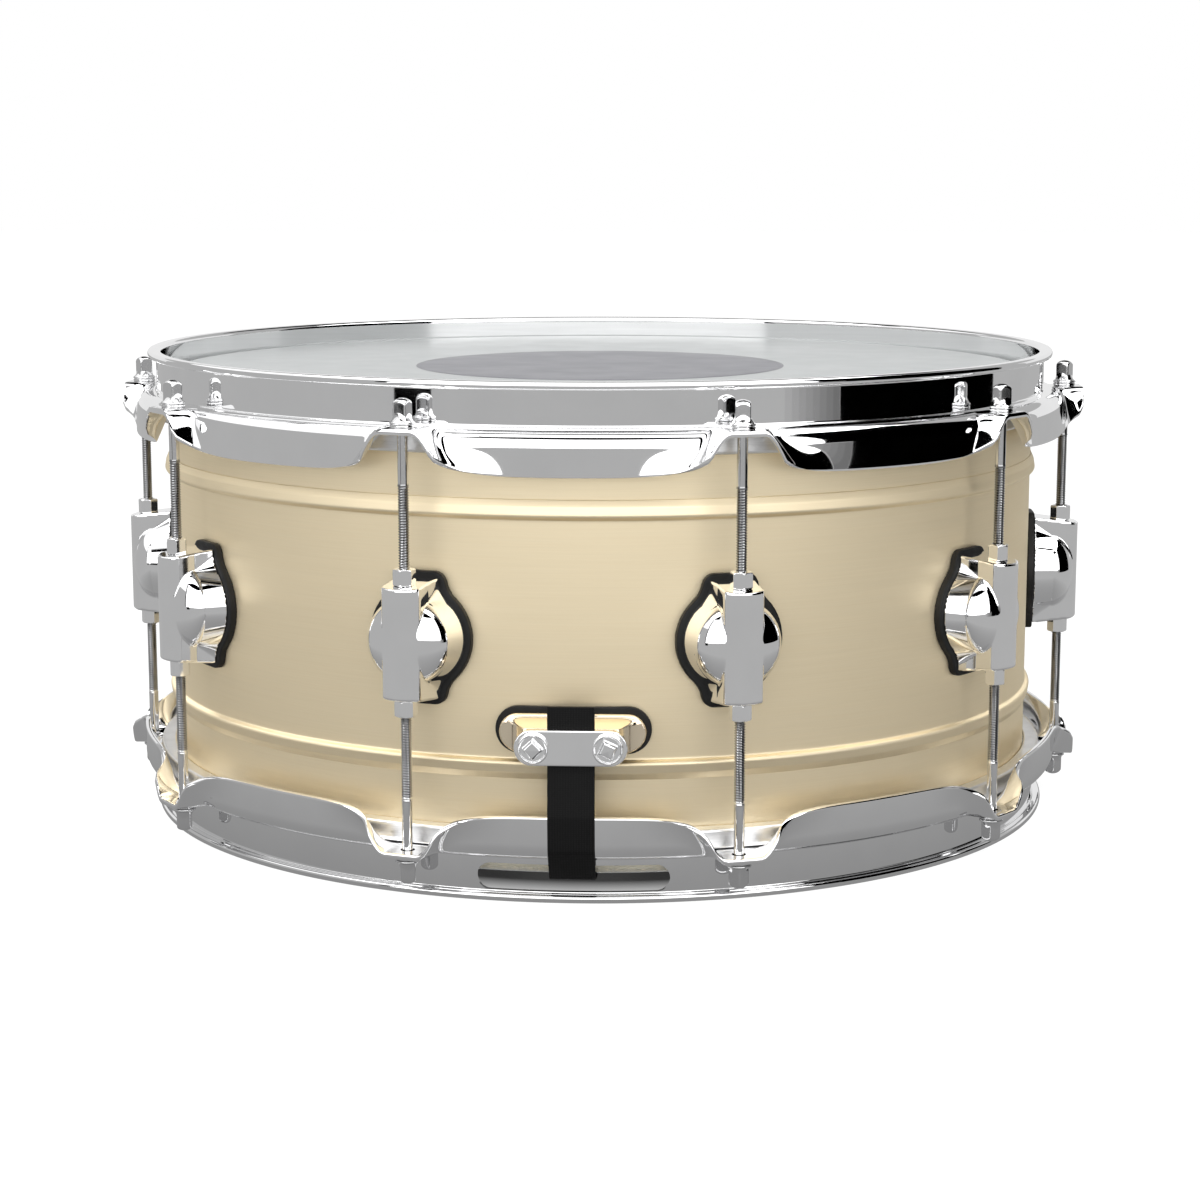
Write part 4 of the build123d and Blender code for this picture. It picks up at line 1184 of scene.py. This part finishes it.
def clamp_screw_field(side, twist):
    """A key-operated clamp screw: a dished round head with a square key post, chamfered at its end."""
    a = math.radians(twist)
    post_end = 198.3

    def field(p):
        x, y, z = p.T
        y, z = y - side * CLAMP_SCREW_OFFSET, z - CLAMP_HEIGHT
        r = np.hypot(y, z)
        disc_part = round_max(r - 5.5, slab(x, 195.35, 0.95), 0.4)
        dish = round_max(r - 4.6, 195.75 - x, 0.2)
        head = smooth_max(disc_part, -dish, 0.15)
        u, v = y * math.cos(a) + z * math.sin(a), -y * math.sin(a) + z * math.cos(a)
        reach = np.maximum(np.abs(u), np.abs(v))
        chamfer = reach * 0.82 + (x - post_end) * 0.57 - 1.55
        pyramid = reach * 0.12 + (x - post_end) * 0.99
        post = round_max(box2(u, v, 2.75, 2.75, 0.25), chamfer, 0.1)
        post = round_max(round_max(post, pyramid, 0.06), 194.4 - x, 0.1)
        return smooth_min(head, post, 0.12)

    return field


def butt_piece(name, pattern, slot, node):
    """One piece of the butt plate, at the front of the drum."""
    made = place(name, make_mesh(name, *pattern))
    made.matrix_world = turn(0)
    return ride(made, "drum", slot, node)


def butt_pieces():
    base = field_mesh(butt_base_field, (177.6, -27.2, 52.0), (192.2, 27.2, 70.4), 0.5)
    made = butt_piece("butt_base_cast", base, "fitting_chrome", "butt_base_plate")
    # Painted reflection: the casting's tan chrome colour stands in for the warm reflection it would show.
    made.data.materials[0] = BUTT_BASE_PAINTED_REFLECTION
    gasket = field_mesh(butt_gasket_field, (174.0, -29.0, 52.6), (180.6, 29.0, 71.8), 0.55)
    butt_piece("butt_gasket_pad", gasket, "gasket_rubber", "butt_gasket")
    clamp = field_mesh(butt_clamp_field, (191.2, -21.0, 51.8), (195.2, 21.0, 66.2), 0.4)
    butt_piece("butt_clamp_bar", clamp, "fitting_chrome", "butt_clamp_plate")
    for hand, side, twist in (("left", -1, 43), ("right", 1, 66)):
        middle = side * CLAMP_SCREW_OFFSET
        low, high = (193.6, middle - 6.2, CLAMP_HEIGHT - 6.2), (199.0, middle + 6.2, CLAMP_HEIGHT + 6.2)
        screw = field_mesh(clamp_screw_field(side, twist), low, high, 0.27)
        butt_piece(f"butt_clamp_screw_{hand}", screw, "fitting_chrome", "butt_clamp_screws")


butt_pieces()


# Straps and snare wires

STRAP_WIDTH = 16.8
STRAP_THICKNESS = 0.8
STRAP_BEND = 12.0
STRAP_END = [(192.9, 33.5, 8.0), (191.9, 20.6, 4.0), (183.8, 9.0, 3.0), (178.0, 7.25, 4.0), (150.6, 7.25, 0)]
STRAND_COUNT = 20
STRAND_PITCH = 2.05
STRAND_LENGTH = 296
STRAND_HEIGHT = 7.7


def ribbon(path):
    """A flat strap with soft edges along a route of (radius, height) points, rounded at its bends."""
    line = np.array(rounded(path, 7), float)
    fine = [line[0]]
    for a, b in zip(line, line[1:]):
        pieces = max(int(np.linalg.norm(b - a) / 1.5), 1)
        fine += [a + (b - a) * (k + 1) / pieces for k in range(pieces)]
    line = np.array(fine)
    ahead = np.gradient(line, axis=0)
    ahead /= np.linalg.norm(ahead, axis=1)[:, None]
    side = np.stack([-ahead[:, 1], ahead[:, 0]], 1)
    w, t = STRAP_WIDTH / 2, STRAP_THICKNESS / 2
    outline = rounded_rectangle((-w, w), (-t, t), t * 0.9, 3)
    points = []
    for at, normal in zip(line, side):
        for across, up in outline:
            points.append((at[0] + normal[0] * up, across, at[1] + normal[1] * up))
    return np.array(points), tube_faces(len(line), len(outline))


def strap(name, path, angle):
    """A nylon strap at its place around the drum."""
    points, faces = ribbon(path)
    made = make_object(name, turned(points, angle), faces, sharp=60)
    made.data.materials.append(MATERIALS["strap_nylon"])
    return made


def strap_pieces():
    made = strap("butt_strap_ribbon", [(191.6, 73.4, 0), (191.6, 50.0, STRAP_BEND), *STRAP_END], 0)
    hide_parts("butt_strap", "butt_strap_tail")
    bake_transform(made)
    path = [(195.5, 69.8, 0), (195.5, 50.0, STRAP_BEND), *STRAP_END[:2], (183.8, 9.0, 0)]
    made = strap("strainer_strap_ribbon", path, 180)
    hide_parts("strainer_strap")
    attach(made, "drum")
    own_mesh(made)
    made = strap("strainer_strap_tail_ribbon", [(183.4, 8.2, 0), *STRAP_END[3:]], 180)
    ride(made, "snare_wires", "strap_nylon", "strainer_strap_tail")


def snare_coil():
    """One snare strand: a close wound coil of round wire."""
    pitch, per_turn, steps_around = 1.15, 9, 5
    coil_radius, wire_radius = 0.6, 0.25
    count = int(STRAND_LENGTH / pitch * per_turn)
    along = np.array((0, 1.0, 0))
    points = []
    for k in range(count + 1):
        a = 2 * math.pi * k / per_turn
        out = np.array((math.cos(a), 0, math.sin(a)))
        centre = out * coil_radius + along * (STRAND_LENGTH * k / count - STRAND_LENGTH / 2)
        for b in np.arange(steps_around) * 2 * math.pi / steps_around:
            points.append(centre + wire_radius * (out * math.cos(b) + along * math.sin(b)))
    return np.array(points), tube_faces(count + 1, steps_around)


def snare_pieces():
    mesh = make_mesh("snare_strand", *snare_coil())
    for k in range(STRAND_COUNT):
        made = place(f"snare_strand_{k + 1:02d}", mesh)
        aside = (k - (STRAND_COUNT - 1) / 2) * STRAND_PITCH
        made.matrix_world = Matrix.Translation((aside * MM, 0, STRAND_HEIGHT * MM))
        ride(made, "snare_wires", "snare_steel", "snare_strands")


strap_pieces()
snare_pieces()


# CAD pieces that stay in view

SOFTENED = [
    "strainer_housing",
    "throw_lever",
    "tension_knob",
    "strap_carriage",
    "strap_clamp_block",
    "strap_clamp_plate",
    "strap_clamp_screws",
    "air_vent_grommet",
    "strainer_pivot_screws",
]


def soften(node):
    """Closes the CAD mesh's seams and rounds its edges a little."""
    weld = node.modifiers.new("weld", "WELD")
    weld.merge_threshold = 0.00001
    bevel = node.modifiers.new("bevel", "BEVEL")
    bevel.width = 0.3 * MM
    bevel.segments = 2
    bevel.limit_method = "ANGLE"
    bevel.angle_limit = math.radians(40)


for name in SOFTENED:
    soften(frame["nodes"][name])
